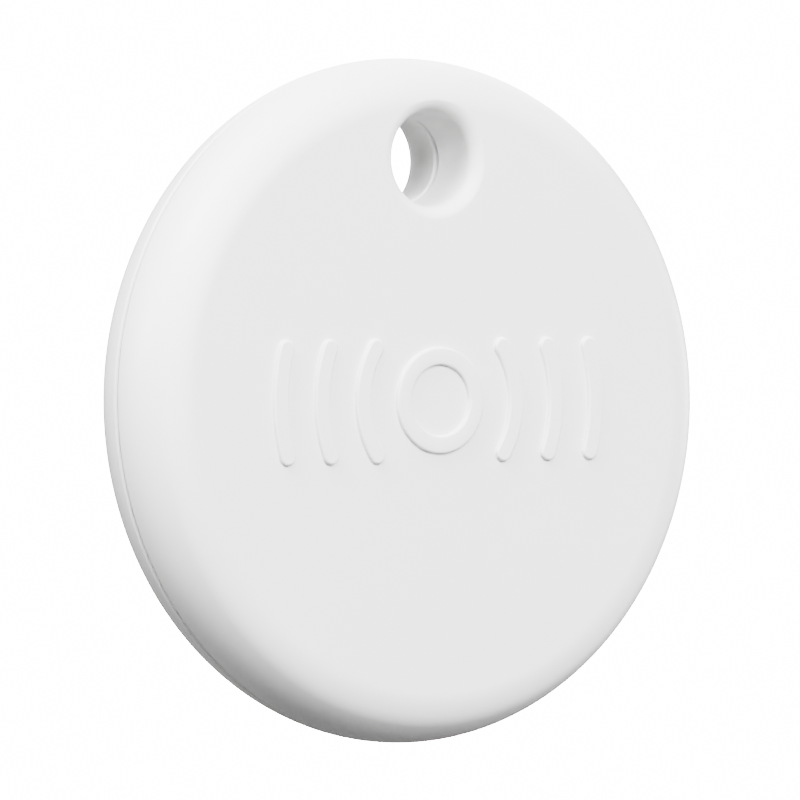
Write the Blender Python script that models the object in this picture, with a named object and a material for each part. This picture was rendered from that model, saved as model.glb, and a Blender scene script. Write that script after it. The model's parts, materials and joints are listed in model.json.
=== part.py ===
"""Round bluetooth tracker tag with a key-ring hole.

Metres, +Z up. The tag hangs upright: its front faces -Y, its key-ring hole is at the top, and the
origin is the centre of that hole. A piece is turned about the disc's axis, the hole's axis, the
coin cell's axis or the sounder's axis, and all four run along Y.
"""
import math

import bmesh
import bpy
from mathutils import Vector

MM = 0.001

# ---- driving dimensions, in millimetres: Y runs from the front (-) to the rear (+) ----
DISC_DIAMETER = 38.8
THICKNESS = 7.2
HOLE_OFFSET = 13.63          # the hole's axis above the disc's axis
BLEND_RADIUS = 3.0           # edge curve beside each face, up to BLEND_END degrees from its direction
BLEND_END = 25
CORNER_RADIUS = 1.85         # then tighter, up to CORNER_END degrees
CORNER_END = 52
WALL = 0.8                   # front wall
REAR_WALL = 0.65
CAVITY_RADIUS = 17.6
CAVITY_CORNER = 0.8          # curve inside, between each cover's wall and its face
HOLE_RADIUS = 2.42           # narrowest, where the covers meet inside the hole
MOUTH_RADIUS = 3.5           # where the rounding of the hole's front mouth starts on the face
MOUTH_WIDTH = 0.8
MOUTH_DEPTH = 0.85
REAR_HOLE_RADIUS = 2.8
REAR_LIP = 1.1               # rounding of the hole's rear edge
TUBE_EDGE = 0.25             # rounding of the rear tube where the tubes meet inside the hole
BOSS_RADIUS = 3.9            # tube round the hole inside the covers
BOSS_LIP = 0.62              # wall left at the tube's end, beside the hole
BOSS_STEP = 0.45             # depth of the step that holds the hole seal
BOSS_ROOM = 0.55             # space left round the tube in the board and the inner frame
SEAM_GAP = 0.22
FRONT_CHAMFER = 0.04         # each cover's edge beside the seam
REAR_CHAMFER = 0.18
RIM_STEP = 0.5               # depth of the step that holds the rim seal
HOLE_SEAM_Y = -0.3
PRESS_TRAVEL = 0.18          # how far the front gives when it is squeezed
SEAL_RADIUS = 18.55          # outside of the pocket for the rim seal
PEG_RADIUS = 0.65            # pegs on the rear cover
PEG_TIP = 0.6
PEG_ROOM = 0.25              # space left round each peg
PEG_PLACES = ((13.6, 3.5), (-13.6, 3.5), (0, -15.3))    # X and Z from the disc's axis
SOCKET_RADIUS = 1.45         # tubes on the inner frame that the pegs enter
SOCKET_REAR = 1.7
FRAME_WALL = 0.9
FRAME_FLOOR = 0.35
FRAME_REAR = 2.5
CELL_WALL_REAR = 2.2
BOARD_RADIUS = 16.9
BOARD_FRONT = -1.35
BOARD_REAR = -0.75
CELL_RADIUS = 10.0
CELL_FRONT = -0.4
CELL_REAR = 2.7
CELL_DROP = 3.0              # the cell's axis below the disc's axis
CELL_BAY = 0.32              # space left round the cell
CELL_WALL = 0.78
CAN_WALL = 0.25
CAN_EDGE = 0.5
LID_WALL = 0.25
LID_STEP = 0.85              # the lid's side inside the can's
LID_HEIGHT = 1.5
CONTACT_GAP_WIDTH = 3.0      # opening in the cell's wall for the side contact
CONTACT_GAP_HEIGHT = 4.8
SPRING_THICKNESS = 0.1
SIDE_CONTACT_THICKNESS = 0.12
SIDE_CONTACT_WIDTH = 3.6
LID_CONTACT_WIDTH = 3.2
SOUNDER_SPRING_WIDTH = 1.0
SOUNDER_RADIUS = 7.5
SOUNDER_DROP = 7.2
SOUNDER_RIB = 0.6            # ring on the front cover round the sounder
SOUNDER_RIB_HEIGHT = 0.45
FILM_WIDTH = 1.3
FILM_THICKNESS = 0.13
PLATE_THICKNESS = 0.2
CERAMIC_RADIUS = 5.4
CERAMIC_THICKNESS = 0.2
ELECTRODE_RADIUS = 4.9
ELECTRODE_THICKNESS = 0.06
SWITCH_RISE = 3.9            # the press switch above the disc's axis
SWITCH_SIZE = 3.6
SWITCH_FRONT = -2.1
SWITCH_SPLIT = -1.6          # front of the switch's base
POST_RADIUS = 1.3
POST_END = -2.42
PLUNGER_RADIUS = 0.8
PLUNGER_END = -1.82
FOAM_RADIUS = 6.0
ANTENNA_INNER = 15.0
ANTENNA_OUTER = 16.1
ANTENNA_FRONT = -2.02
ANTENNA_REAR = -1.86
ANTENNA_START, ANTENNA_END = -62, 18    # degrees round the disc's axis
ANTENNA_FEET = (-59, -15, 15)
SYMBOL_HEIGHT = 0.24
SYMBOL_STROKE = 1.0
SYMBOL_HALF_HEIGHT = 3.5
SYMBOL_RING = 2.5            # middle of the ring's stroke
SYMBOL_WAVES = (5.3, 8.1, 10.9)
FIT = 0.05                   # clearance between pieces that touch
THROUGH = 5                  # half length of a tool that cuts right through

RADIUS = DISC_DIAMETER / 2
HALF = THICKNESS / 2
DISC_Z = -HOLE_OFFSET
CELL_Z = DISC_Z - CELL_DROP
SOUNDER_Z = DISC_Z - SOUNDER_DROP
SWITCH_Z = DISC_Z + SWITCH_RISE
FRONT_INSIDE = -HALF + WALL
REAR_INSIDE = HALF - REAR_WALL
BOARD_TOP = BOARD_FRONT - 0.03
COVER_STEPS = 64
TOOL_TURN = 0.37             # part of a facet that tool shapes are turned by, so no corners meet

# name, material, width, height, depth in front of the board, X and Z from the disc's axis
SMALL_PARTS = (
    ("radio_chip", "chip_moulding", 5.0, 5.0, 0.62, 7.6, 5.2),
    ("crystal", "plated_steel", 3.2, 2.5, 0.55, 12.0, 1.2),
    ("inductor", "ferrite", 2.0, 1.6, 0.6, 3.9, 8.0),
    ("capacitor_1", "capacitor_ceramic", 1.6, 0.8, 0.5, -4.6, 8.6),
    ("capacitor_2", "capacitor_ceramic", 1.6, 0.8, 0.5, -7.4, 8.6),
    ("capacitor_3", "capacitor_ceramic", 0.8, 1.6, 0.5, 11.6, 6.4),
    ("capacitor_4", "capacitor_ceramic", 1.6, 0.8, 0.5, 7.6, 1.2),
    ("resistor_1", "chip_moulding", 1.6, 0.8, 0.35, -6.0, 6.4),
    ("resistor_2", "chip_moulding", 1.6, 0.8, 0.35, -9.0, 6.4),
    ("resistor_3", "chip_moulding", 0.8, 1.6, 0.35, -11.6, 3.4),
)


# ---- helpers ----
def clear_scene():
    for old in list(bpy.data.objects):
        bpy.data.objects.remove(old, do_unlink=True)


def finish(name, colour, roughness, metallic=0.0):
    """A Principled material for one piece."""
    mat = bpy.data.materials.new(name)
    mat.use_nodes = True
    shader = mat.node_tree.nodes["Principled BSDF"]
    shader.inputs["Base Color"].default_value = (*colour, 1)
    shader.inputs["Roughness"].default_value = roughness
    shader.inputs["Metallic"].default_value = metallic
    return mat


def place(name, bm, mat, x=0.0, z=0.0):
    """Turn a bmesh in millimetres, drawn round its own axis, into a placed object."""
    bmesh.ops.recalc_face_normals(bm, faces=bm.faces)
    bmesh.ops.scale(bm, vec=(MM, MM, MM), verts=bm.verts)
    mesh = bpy.data.meshes.new(name)
    bm.to_mesh(mesh)
    bm.free()
    mesh.shade_smooth()
    mesh.set_sharp_from_angle(angle=math.radians(35))
    obj = bpy.data.objects.new(name, mesh)
    obj.location = (x * MM, 0, z * MM)
    bpy.context.collection.objects.link(obj)
    if mat:
        mesh.materials.append(mat)
    return obj


def arc(centre_r, centre_y, radius, start, end, count):
    """Points (r, y) along an arc; angles are in degrees from the outward radius."""
    points = []
    for i in range(count + 1):
        angle = math.radians(start + (end - start) * i / count)
        points.append((centre_r + radius * math.cos(angle), centre_y + radius * math.sin(angle)))
    return points


def turned(profile, steps, turn=0.0):
    """A closed solid turned about Y from a closed profile of (r, y) points."""
    bm = bmesh.new()
    rings = []
    for r, y in profile:
        if r < 1e-6:
            rings.append([bm.verts.new((0, y, 0))] * steps)
            continue
        ring = []
        for i in range(steps):
            angle = 2 * math.pi * (i + turn) / steps
            ring.append(bm.verts.new((r * math.cos(angle), y, r * math.sin(angle))))
        rings.append(ring)
    for k, ring in enumerate(rings):
        following = rings[(k + 1) % len(rings)]
        for i in range(steps):
            j = (i + 1) % steps
            corners = [ring[i], ring[j], following[j], following[i]]
            distinct = list(dict.fromkeys(corners))
            if len(distinct) > 2:
                bm.faces.new(distinct)
    return bm


def disc(radius, front, rear, steps=48, turn=0.0):
    return turned([(0, front), (radius, front), (radius, rear), (0, rear)], steps, turn)


def washer(inner, outer, front, rear, steps=64, turn=0.0):
    return turned([(inner, front), (outer, front), (outer, rear), (inner, rear)], steps, turn)


def boss(start, end, step):
    """The tube round the hole: its wall is stepped back at the end to leave room for a seal."""
    lip = HOLE_RADIUS + BOSS_LIP
    profile = [(0, start), (BOSS_RADIUS, start), (BOSS_RADIUS, end - step), (lip, end - step)]
    return turned(profile + [(lip, end), (0, end)], 32)


def block(size_x, size_z, front, rear, x=0.0, z=0.0):
    """A box centred on (x, z) that runs from front to rear."""
    bm = bmesh.new()
    bmesh.ops.create_cube(bm, size=1)
    bmesh.ops.scale(bm, vec=(size_x, rear - front, size_z), verts=bm.verts)
    bmesh.ops.translate(bm, vec=(x, (front + rear) / 2, z), verts=bm.verts)
    return bm


def extruded(outline, start, end, axis):
    """A prism: outline is (a, b) points; it runs from start to end along the named axis."""
    order = {"y": lambda a, b, t: (a, t, b), "z": lambda a, b, t: (a, b, t)}[axis]
    bm = bmesh.new()
    near = [bm.verts.new(order(a, b, start)) for a, b in outline]
    far = [bm.verts.new(order(a, b, end)) for a, b in outline]
    bm.faces.new(near)
    bm.faces.new(far)
    for i in range(len(outline)):
        j = (i + 1) % len(outline)
        bm.faces.new((near[i], near[j], far[j], far[i]))
    return bm


def strip_outline(path, thickness):
    """The outline of a thin bent strip whose middle follows the path's (x, y) points."""
    left, right = [], []
    for i, point in enumerate(path):
        before = Vector(path[max(i - 1, 0)])
        after = Vector(path[min(i + 1, len(path) - 1)])
        along = (after - before).normalized()
        side = Vector((-along.y, along.x)) * thickness / 2
        left.append(tuple(Vector(point) + side))
        right.append(tuple(Vector(point) - side))
    return left + right[::-1]


def sector(inner, outer, start, end, front, rear, count):
    """Part of a washer between two angles, in degrees from +X towards +Z."""
    angles = [math.radians(start + (end - start) * i / count) for i in range(count + 1)]
    outline = [(outer * math.cos(a), outer * math.sin(a)) for a in angles]
    outline += [(inner * math.cos(a), inner * math.sin(a)) for a in reversed(angles)]
    return extruded(outline, front, rear, "y")


def boolean(target, bm, name, x, z, operation):
    """Join a hidden tool shape to the target, or cut it away."""
    tool = place(name, bm, None, x, z)
    tool.hide_render = True
    tool.display_type = "WIRE"
    modifier = target.modifiers.new(name, "BOOLEAN")
    modifier.operation = operation
    modifier.solver = "EXACT"
    modifier.object = tool
    return tool


def cut(target, bm, name, x=0.0, z=0.0):
    boolean(target, bm, name, x, z, "DIFFERENCE")


def join(target, bm, name, x=0.0, z=0.0):
    boolean(target, bm, name, x, z, "UNION")


def round_edges(obj, width, segments=1):
    bevel = obj.modifiers.new("rounding", "BEVEL")
    bevel.width = width * MM
    bevel.segments = segments
    bevel.limit_method = "ANGLE"
    bevel.angle_limit = math.radians(40)


# ---- the two covers ----
def edge_profile(side, chamfer):
    """The outer edge of one cover from the seam to its face, as three arcs that run into each other.

    Their angles are measured from the face's direction. side is -1 front, 1 rear.
    """
    sin_blend, cos_blend = math.sin(math.radians(BLEND_END)), math.cos(math.radians(BLEND_END))
    sin_corner, cos_corner = math.sin(math.radians(CORNER_END)), math.cos(math.radians(CORNER_END))
    dropped = BLEND_RADIUS * (1 - cos_blend) + CORNER_RADIUS * (cos_blend - cos_corner)
    side_radius = (HALF - dropped) / cos_corner
    corner_r = RADIUS - side_radius + (side_radius - CORNER_RADIUS) * sin_corner
    corner_y = (side_radius - CORNER_RADIUS) * cos_corner
    blend_r = corner_r - (BLEND_RADIUS - CORNER_RADIUS) * sin_blend
    seam_angle = math.degrees(math.asin((SEAM_GAP / 2 + chamfer) / side_radius))
    lip = [(RADIUS - chamfer, SEAM_GAP / 2)]
    barrel = arc(RADIUS - side_radius, 0, side_radius, seam_angle, 90 - CORNER_END, 3)
    corner = arc(corner_r, corner_y, CORNER_RADIUS, 90 - CORNER_END, 90 - BLEND_END, 3)
    blend = arc(blend_r, HALF - BLEND_RADIUS, BLEND_RADIUS, 90 - BLEND_END, 90, 2)
    return [(r, side * y) for r, y in lip + barrel + corner[1:] + blend[1:]]


def cover_shell(side, inside, chamfer):
    """A dished shell with a stepped lip that holds the rim seal."""
    lip = SEAM_GAP / 2
    inner_corner = arc(CAVITY_RADIUS - CAVITY_CORNER, abs(inside) - CAVITY_CORNER, CAVITY_CORNER, 90, 0, 3)
    profile = edge_profile(side, chamfer)
    profile.append((0, side * HALF))
    profile.append((0, inside))
    profile += [(r, side * y) for r, y in inner_corner]
    profile.append((CAVITY_RADIUS, side * (lip + RIM_STEP)))
    profile.append((SEAL_RADIUS, side * (lip + RIM_STEP)))
    profile.append((SEAL_RADIUS, side * lip))
    return turned(profile, COVER_STEPS, 0.5)


def wave_symbol(target):
    """A ring between sound-wave arcs, raised on the front."""
    back, top = -HALF + 0.2, -HALF - SYMBOL_HEIGHT
    half = SYMBOL_STROKE / 2
    ring = washer(SYMBOL_RING - half, SYMBOL_RING + half, top, back, 28, TOOL_TURN)
    join(target, ring, "tool_ring", 0, DISC_Z)
    for number, radius in enumerate(SYMBOL_WAVES, 1):
        spread = math.degrees(math.asin(SYMBOL_HALF_HEIGHT / radius))
        for side, middle in (("right", 0), ("left", 180)):
            wave = sector(radius - half, radius + half, middle - spread, middle + spread, top, back, 8)
            join(target, wave, f"tool_wave_{side}_{number}", 0, DISC_Z)


def make_front_cover(plastic):
    cover = place("front_cover", cover_shell(-1, FRONT_INSIDE, FRONT_CHAMFER), plastic, 0, DISC_Z)
    boss_end = HOLE_SEAM_Y - SEAM_GAP / 2
    join(cover, boss(FRONT_INSIDE - WALL / 2, boss_end, BOSS_STEP), "tool_front_boss")
    rib = SOUNDER_RADIUS + 0.2
    rib_rear = FRONT_INSIDE + SOUNDER_RIB_HEIGHT
    ring = washer(rib, rib + SOUNDER_RIB, FRONT_INSIDE - WALL / 2, rib_rear, 32, TOOL_TURN)
    join(cover, ring, "tool_sounder_rib", 0, SOUNDER_Z)
    # The tool flares a little above the face, so that it crosses the face inside a facet.
    bore = [(0, -THROUGH), (MOUTH_RADIUS + 0.1, -THROUGH), (MOUTH_RADIUS + 0.1, -HALF - 0.02)]
    for i in range(1, 7):
        angle = math.radians(15 * i)
        r = MOUTH_RADIUS - MOUTH_WIDTH * math.sin(angle)
        bore.append((r, -HALF + MOUTH_DEPTH * (1 - math.cos(angle))))
    bore += [(HOLE_RADIUS, boss_end + 0.03), (HOLE_RADIUS, 0.6), (0, 0.6)]
    cut(cover, turned(bore, 32, TOOL_TURN), "tool_front_bore")
    wave_symbol(cover)


def make_rear_cover(plastic):
    cover = place("rear_cover", cover_shell(1, REAR_INSIDE, REAR_CHAMFER), plastic, 0, DISC_Z)
    boss_end = HOLE_SEAM_Y + SEAM_GAP / 2
    join(cover, boss(REAR_INSIDE + REAR_WALL / 2, boss_end, -BOSS_STEP), "tool_rear_boss")
    for number, (x, z) in enumerate(PEG_PLACES, 1):
        peg = disc(PEG_RADIUS, PEG_TIP, REAR_INSIDE + REAR_WALL / 2, 16, TOOL_TURN)
        join(cover, peg, f"tool_peg_{number}", x, DISC_Z + z)
    edge_r = HOLE_RADIUS + TUBE_EDGE
    lip_r = REAR_HOLE_RADIUS + REAR_LIP
    bore = [(0, -THROUGH), (edge_r + 0.1, -THROUGH), (edge_r + 0.1, boss_end - 0.02)]
    bore += arc(edge_r, boss_end + TUBE_EDGE, TUBE_EDGE, 250, 180, 3)
    bore += arc(lip_r, HALF - REAR_LIP, REAR_LIP, 180, 98, 5)
    bore += [(lip_r + 0.1, HALF + 0.02), (lip_r + 0.1, THROUGH), (0, THROUGH)]
    cut(cover, turned(bore, 32, TOOL_TURN), "tool_rear_bore")


def make_seals(elastomer):
    """The seals stay clear of the covers' steps, also when the front is squeezed."""
    step = SEAM_GAP / 2 + RIM_STEP
    rim = washer(CAVITY_RADIUS + 0.12, SEAL_RADIUS - 0.1, -step + PRESS_TRAVEL + FIT, step - FIT, 56)
    place("rim_seal", rim, elastomer, 0, DISC_Z)
    boss_front = HOLE_SEAM_Y - SEAM_GAP / 2 - BOSS_STEP
    boss_rear = HOLE_SEAM_Y + SEAM_GAP / 2 + BOSS_STEP
    front, rear = boss_front + PRESS_TRAVEL + FIT, boss_rear - FIT
    ring = washer(HOLE_RADIUS + 0.7, BOSS_RADIUS - 0.08, front, rear, 32)
    place("hole_seal", ring, elastomer)


# ---- carrier, board and coin cell ----
def make_inner_frame(plastic):
    """Carrier behind the board: a floor, an outer wall, a wall round the cell and three peg sockets."""
    front = BOARD_REAR + FIT
    outer = CAVITY_RADIUS - 0.15
    inner = outer - FRAME_WALL
    profile = [(0, front), (outer, front), (outer, FRAME_REAR), (inner, FRAME_REAR), (inner, FRAME_FLOOR)]
    profile.append((0, FRAME_FLOOR))
    carrier = place("inner_frame", turned(profile, 56, 0.5), plastic, 0, DISC_Z)
    bay_radius = CELL_RADIUS + CELL_BAY
    wall = disc(bay_radius + CELL_WALL, front + 0.2, CELL_WALL_REAR, 48, TOOL_TURN)
    join(carrier, wall, "tool_cell_wall", 0, CELL_Z)
    for number, (x, z) in enumerate(PEG_PLACES, 1):
        socket = disc(SOCKET_RADIUS, front + 0.3, SOCKET_REAR, 16, TOOL_TURN / 2)
        join(carrier, socket, f"tool_socket_{number}", x, DISC_Z + z)
    cut(carrier, disc(bay_radius, -THROUGH, THROUGH, 48), "tool_cell_bay", 0, CELL_Z)
    cut(carrier, disc(BOSS_RADIUS + BOSS_ROOM, -THROUGH, THROUGH, 40, TOOL_TURN), "tool_boss_gap")
    gap = block(CONTACT_GAP_WIDTH, CONTACT_GAP_HEIGHT, -THROUGH, THROUGH)
    cut(carrier, gap, "tool_contact_gap", -CELL_RADIUS - CONTACT_GAP_WIDTH / 2 + FIT, CELL_Z)
    for number, (x, z) in enumerate(PEG_PLACES, 1):
        hole = disc(PEG_RADIUS + PEG_ROOM, -THROUGH, THROUGH, 16, TOOL_TURN)
        cut(carrier, hole, f"tool_peg_hole_{number}", x, DISC_Z + z)


def make_board(laminate):
    board = place("circuit_board", disc(BOARD_RADIUS, BOARD_FRONT, BOARD_REAR, 56), laminate, 0, DISC_Z)
    cut(board, disc(BOSS_RADIUS + BOSS_ROOM, -THROUGH, THROUGH, 40, TOOL_TURN), "tool_board_gap")


def make_cell(steel, lid_steel, insulator, pellet):
    """The coin cell: can, lid, the ring that insulates them and the pellet inside."""
    can_front = CELL_FRONT + 0.1
    inner = CELL_RADIUS - CAN_WALL
    edge = arc(CELL_RADIUS - CAN_EDGE, CELL_REAR - CAN_EDGE, CAN_EDGE, 0, 90, 3)
    can = [(CELL_RADIUS, can_front)] + edge + [(0, CELL_REAR), (0, CELL_REAR - CAN_WALL)]
    can += [(CELL_RADIUS - CAN_EDGE, CELL_REAR - CAN_WALL), (inner, CELL_REAR - CAN_EDGE)]
    can += [(inner, can_front)]
    place("battery_can", turned(can, 44), steel, 0, CELL_Z)
    outer = CELL_RADIUS - LID_STEP
    lid_end = CELL_FRONT + LID_HEIGHT
    lid = [(0, CELL_FRONT), (outer - 0.6, CELL_FRONT), (outer, CELL_FRONT + 0.45), (outer, lid_end)]
    lid += [(outer - LID_WALL, lid_end), (outer - LID_WALL, CELL_FRONT + 0.55)]
    lid += [(outer - 0.75, CELL_FRONT + LID_WALL), (0, CELL_FRONT + LID_WALL)]
    place("battery_lid", turned(lid, 44), lid_steel, 0, CELL_Z)
    ring = washer(outer + FIT, inner - FIT, CELL_FRONT + 0.12, lid_end + 0.4, 44)
    place("battery_gasket", ring, insulator, 0, CELL_Z)
    core = disc(outer - 1.0, CELL_FRONT + LID_WALL + 0.1, CELL_REAR - CAN_WALL - 0.1, 40)
    place("battery_pellet", core, pellet, 0, CELL_Z)


def make_contacts(spring_metal):
    """Sprung strips from the board to the cell's side and to its lid."""
    foot = BOARD_REAR + FIT + 0.06
    side = -CELL_RADIUS - 0.2
    path = [(side - 2.2, foot), (side - 0.5, foot), (side - 0.15, foot + 0.12), (side, foot + 0.5)]
    path += [(side + 0.06, 0.6), (side, 1.3), (side - 0.18, 1.9)]
    half = SIDE_CONTACT_WIDTH / 2
    strip = extruded(strip_outline(path, SIDE_CONTACT_THICKNESS), -half, half, "z")
    place("contact_positive", strip, spring_metal, 0, CELL_Z)
    path = [(-6.5, foot), (-3.0, foot), (-1.2, foot + 0.11), (0, foot + 0.13)]
    path += [(1.2, foot + 0.11), (2.6, foot + 0.02)]
    half = LID_CONTACT_WIDTH / 2
    tongue = extruded(strip_outline(path, SPRING_THICKNESS), -half, half, "z")
    place("contact_negative", tongue, spring_metal, 0, CELL_Z)


# ---- sounder and press switch ----
def make_sounder(adhesive, brass, ceramic, silver, spring_metal):
    film_front = FRONT_INSIDE + FIT
    film_rear = film_front + FILM_THICKNESS
    film_outer = SOUNDER_RADIUS - 0.1
    film = washer(film_outer - FILM_WIDTH, film_outer, film_front, film_rear, 36)
    place("sounder_adhesive", film, adhesive, 0, SOUNDER_Z)
    plate_front = film_rear + FIT
    plate_rear = plate_front + PLATE_THICKNESS
    place("sounder_plate", disc(SOUNDER_RADIUS, plate_front, plate_rear, 44), brass, 0, SOUNDER_Z)
    ceramic_front = plate_rear + 0.03
    ceramic_rear = ceramic_front + CERAMIC_THICKNESS
    ceramic_disc = disc(CERAMIC_RADIUS, ceramic_front, ceramic_rear, 36)
    place("sounder_ceramic", ceramic_disc, ceramic, 0, SOUNDER_Z)
    coat_front = ceramic_rear + 0.02
    coat_rear = coat_front + ELECTRODE_THICKNESS
    place("sounder_electrode", disc(ELECTRODE_RADIUS, coat_front, coat_rear, 32), silver, 0, SOUNDER_Z)
    foot = BOARD_TOP - 0.06
    springs = (("sounder_spring_plate", plate_rear, 5.4), ("sounder_spring_ceramic", coat_rear, -0.5))
    for name, surface, x in springs:
        tip = surface + PRESS_TRAVEL + FIT + 0.06
        path = [(-1.3, foot), (-0.5, foot), (-0.2, foot - 0.04), (0.7, tip + 0.05), (1.0, tip)]
        path.append((1.3, tip + 0.08))
        half = SOUNDER_SPRING_WIDTH / 2
        leaf = extruded(strip_outline(path, SPRING_THICKNESS), -half, half, "z")
        place(name, leaf, spring_metal, x, SOUNDER_Z)


def make_press(plastic, switch_plastic, metal, plunger_plastic):
    """The post inside the front cover and the low switch on the board that it pushes."""
    post = disc(POST_RADIUS, FRONT_INSIDE + FIT, POST_END, 24)
    place("press_post", post, plastic, 0, SWITCH_Z)
    plunger = disc(PLUNGER_RADIUS, POST_END + 0.04, PLUNGER_END, 24)
    place("switch_plunger", plunger, plunger_plastic, 0, SWITCH_Z)
    base = block(SWITCH_SIZE, SWITCH_SIZE, SWITCH_SPLIT, BOARD_TOP)
    place("switch_base", base, switch_plastic, 0, SWITCH_Z)
    plate = block(SWITCH_SIZE, SWITCH_SIZE, SWITCH_FRONT, SWITCH_SPLIT - FIT)
    lid = place("switch_lid", plate, metal, 0, SWITCH_Z)
    hole = disc(PLUNGER_RADIUS + 0.1, -THROUGH, THROUGH, 24, TOOL_TURN)
    cut(lid, hole, "tool_switch_hole", 0, SWITCH_Z)


# ---- small parts on the front of the board ----
def make_small_parts(materials):
    for name, material, size_x, size_z, height, x, z in SMALL_PARTS:
        body = block(size_x, size_z, BOARD_TOP - height, BOARD_TOP)
        round_edges(place(name, body, materials[material], x, DISC_Z + z), 0.08)


def make_antenna(metal):
    """A curved strip of sheet metal on three feet, near the board's edge."""
    strip = sector(ANTENNA_INNER, ANTENNA_OUTER, ANTENNA_START, ANTENNA_END, ANTENNA_FRONT, ANTENNA_REAR, 20)
    antenna = place("antenna", strip, metal, 0, DISC_Z)
    foot_front = (ANTENNA_FRONT + ANTENNA_REAR) / 2
    for number, angle in enumerate(ANTENNA_FEET, 1):
        inner, outer = ANTENNA_INNER + 0.3, ANTENNA_OUTER - 0.3
        foot = sector(inner, outer, angle - 2, angle + 2, foot_front, BOARD_TOP, 2)
        join(antenna, foot, f"tool_antenna_foot_{number}", 0, DISC_Z)


def build():
    clear_scene()
    white = finish("white_plastic", (0.84, 0.84, 0.83), 0.42)
    elastomer = finish("grey_elastomer", (0.25, 0.26, 0.27), 0.75)
    carrier_black = finish("carrier_plastic", (0.05, 0.05, 0.055), 0.5)
    laminate = finish("board_laminate", (0.02, 0.16, 0.09), 0.4)
    can_steel = finish("can_steel", (0.72, 0.72, 0.7), 0.28, 1.0)
    lid_steel = finish("lid_steel", (0.62, 0.62, 0.6), 0.38, 1.0)
    insulator = finish("gasket_plastic", (0.1, 0.1, 0.11), 0.6)
    pellet = finish("cell_pellet", (0.08, 0.08, 0.08), 0.9)
    spring_metal = finish("spring_bronze", (0.83, 0.72, 0.5), 0.3, 1.0)
    foam = finish("foam", (0.12, 0.12, 0.13), 0.95)
    adhesive = finish("adhesive", (0.75, 0.7, 0.55), 0.6)
    brass = finish("sounder_brass", (0.8, 0.62, 0.3), 0.3, 1.0)
    ceramic = finish("sounder_ceramic", (0.75, 0.72, 0.62), 0.55)
    silver = finish("silvering", (0.85, 0.85, 0.83), 0.35, 1.0)
    plated = finish("plated_steel", (0.75, 0.75, 0.76), 0.3, 1.0)
    moulding = finish("chip_moulding", (0.04, 0.04, 0.045), 0.55)
    ferrite = finish("ferrite", (0.16, 0.16, 0.17), 0.7)
    tan = finish("capacitor_ceramic", (0.55, 0.4, 0.25), 0.5)
    red = finish("plunger_plastic", (0.6, 0.12, 0.1), 0.5)

    make_front_cover(white)
    make_rear_cover(white)
    make_seals(elastomer)
    make_inner_frame(carrier_black)
    make_board(laminate)
    make_cell(can_steel, lid_steel, insulator, pellet)
    make_contacts(spring_metal)
    pad = disc(FOAM_RADIUS, CELL_REAR + 0.04, REAR_INSIDE - 0.03, 40)
    place("battery_foam", pad, foam, 0, CELL_Z)
    make_sounder(adhesive, brass, ceramic, silver, spring_metal)
    make_press(white, moulding, plated, red)
    make_small_parts({"chip_moulding": moulding, "plated_steel": plated, "ferrite": ferrite,
                      "capacitor_ceramic": tan})
    make_antenna(plated)


build()
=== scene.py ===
"""Finished looks for the round tracker tag: fine shells, cell, carrier and materials round the frame."""
import json
import math

import bmesh
import bpy
from mathutils import Matrix, Vector


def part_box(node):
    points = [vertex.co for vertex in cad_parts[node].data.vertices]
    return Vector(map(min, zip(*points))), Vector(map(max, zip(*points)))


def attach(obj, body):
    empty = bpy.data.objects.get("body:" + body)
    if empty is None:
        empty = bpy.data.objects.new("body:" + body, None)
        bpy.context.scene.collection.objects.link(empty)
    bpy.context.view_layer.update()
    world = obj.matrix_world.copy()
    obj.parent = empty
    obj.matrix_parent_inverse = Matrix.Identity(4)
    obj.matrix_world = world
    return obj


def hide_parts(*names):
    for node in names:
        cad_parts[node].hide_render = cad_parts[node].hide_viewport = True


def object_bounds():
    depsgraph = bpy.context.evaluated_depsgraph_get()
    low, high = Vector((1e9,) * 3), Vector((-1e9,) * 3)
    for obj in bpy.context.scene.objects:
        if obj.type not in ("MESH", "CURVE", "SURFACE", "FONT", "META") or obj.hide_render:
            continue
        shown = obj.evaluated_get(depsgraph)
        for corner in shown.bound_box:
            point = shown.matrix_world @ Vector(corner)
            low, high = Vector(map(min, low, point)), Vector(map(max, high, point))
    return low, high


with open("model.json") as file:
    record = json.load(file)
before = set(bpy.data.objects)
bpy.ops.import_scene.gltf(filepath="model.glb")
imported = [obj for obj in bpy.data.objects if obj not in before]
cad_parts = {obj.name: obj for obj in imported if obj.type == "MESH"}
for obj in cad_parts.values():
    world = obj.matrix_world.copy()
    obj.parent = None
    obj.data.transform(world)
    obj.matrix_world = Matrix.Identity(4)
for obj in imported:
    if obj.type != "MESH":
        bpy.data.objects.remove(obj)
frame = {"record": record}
cad_low, cad_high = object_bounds()

MM = 0.001


def middle(node):
    low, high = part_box(node)
    return (low + high) / 2


def size(node):
    low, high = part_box(node)
    return high - low


def span(node):
    """Front and rear of a node along Y, in millimetres."""
    low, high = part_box(node)
    return low.y / MM, high.y / MM


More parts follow.
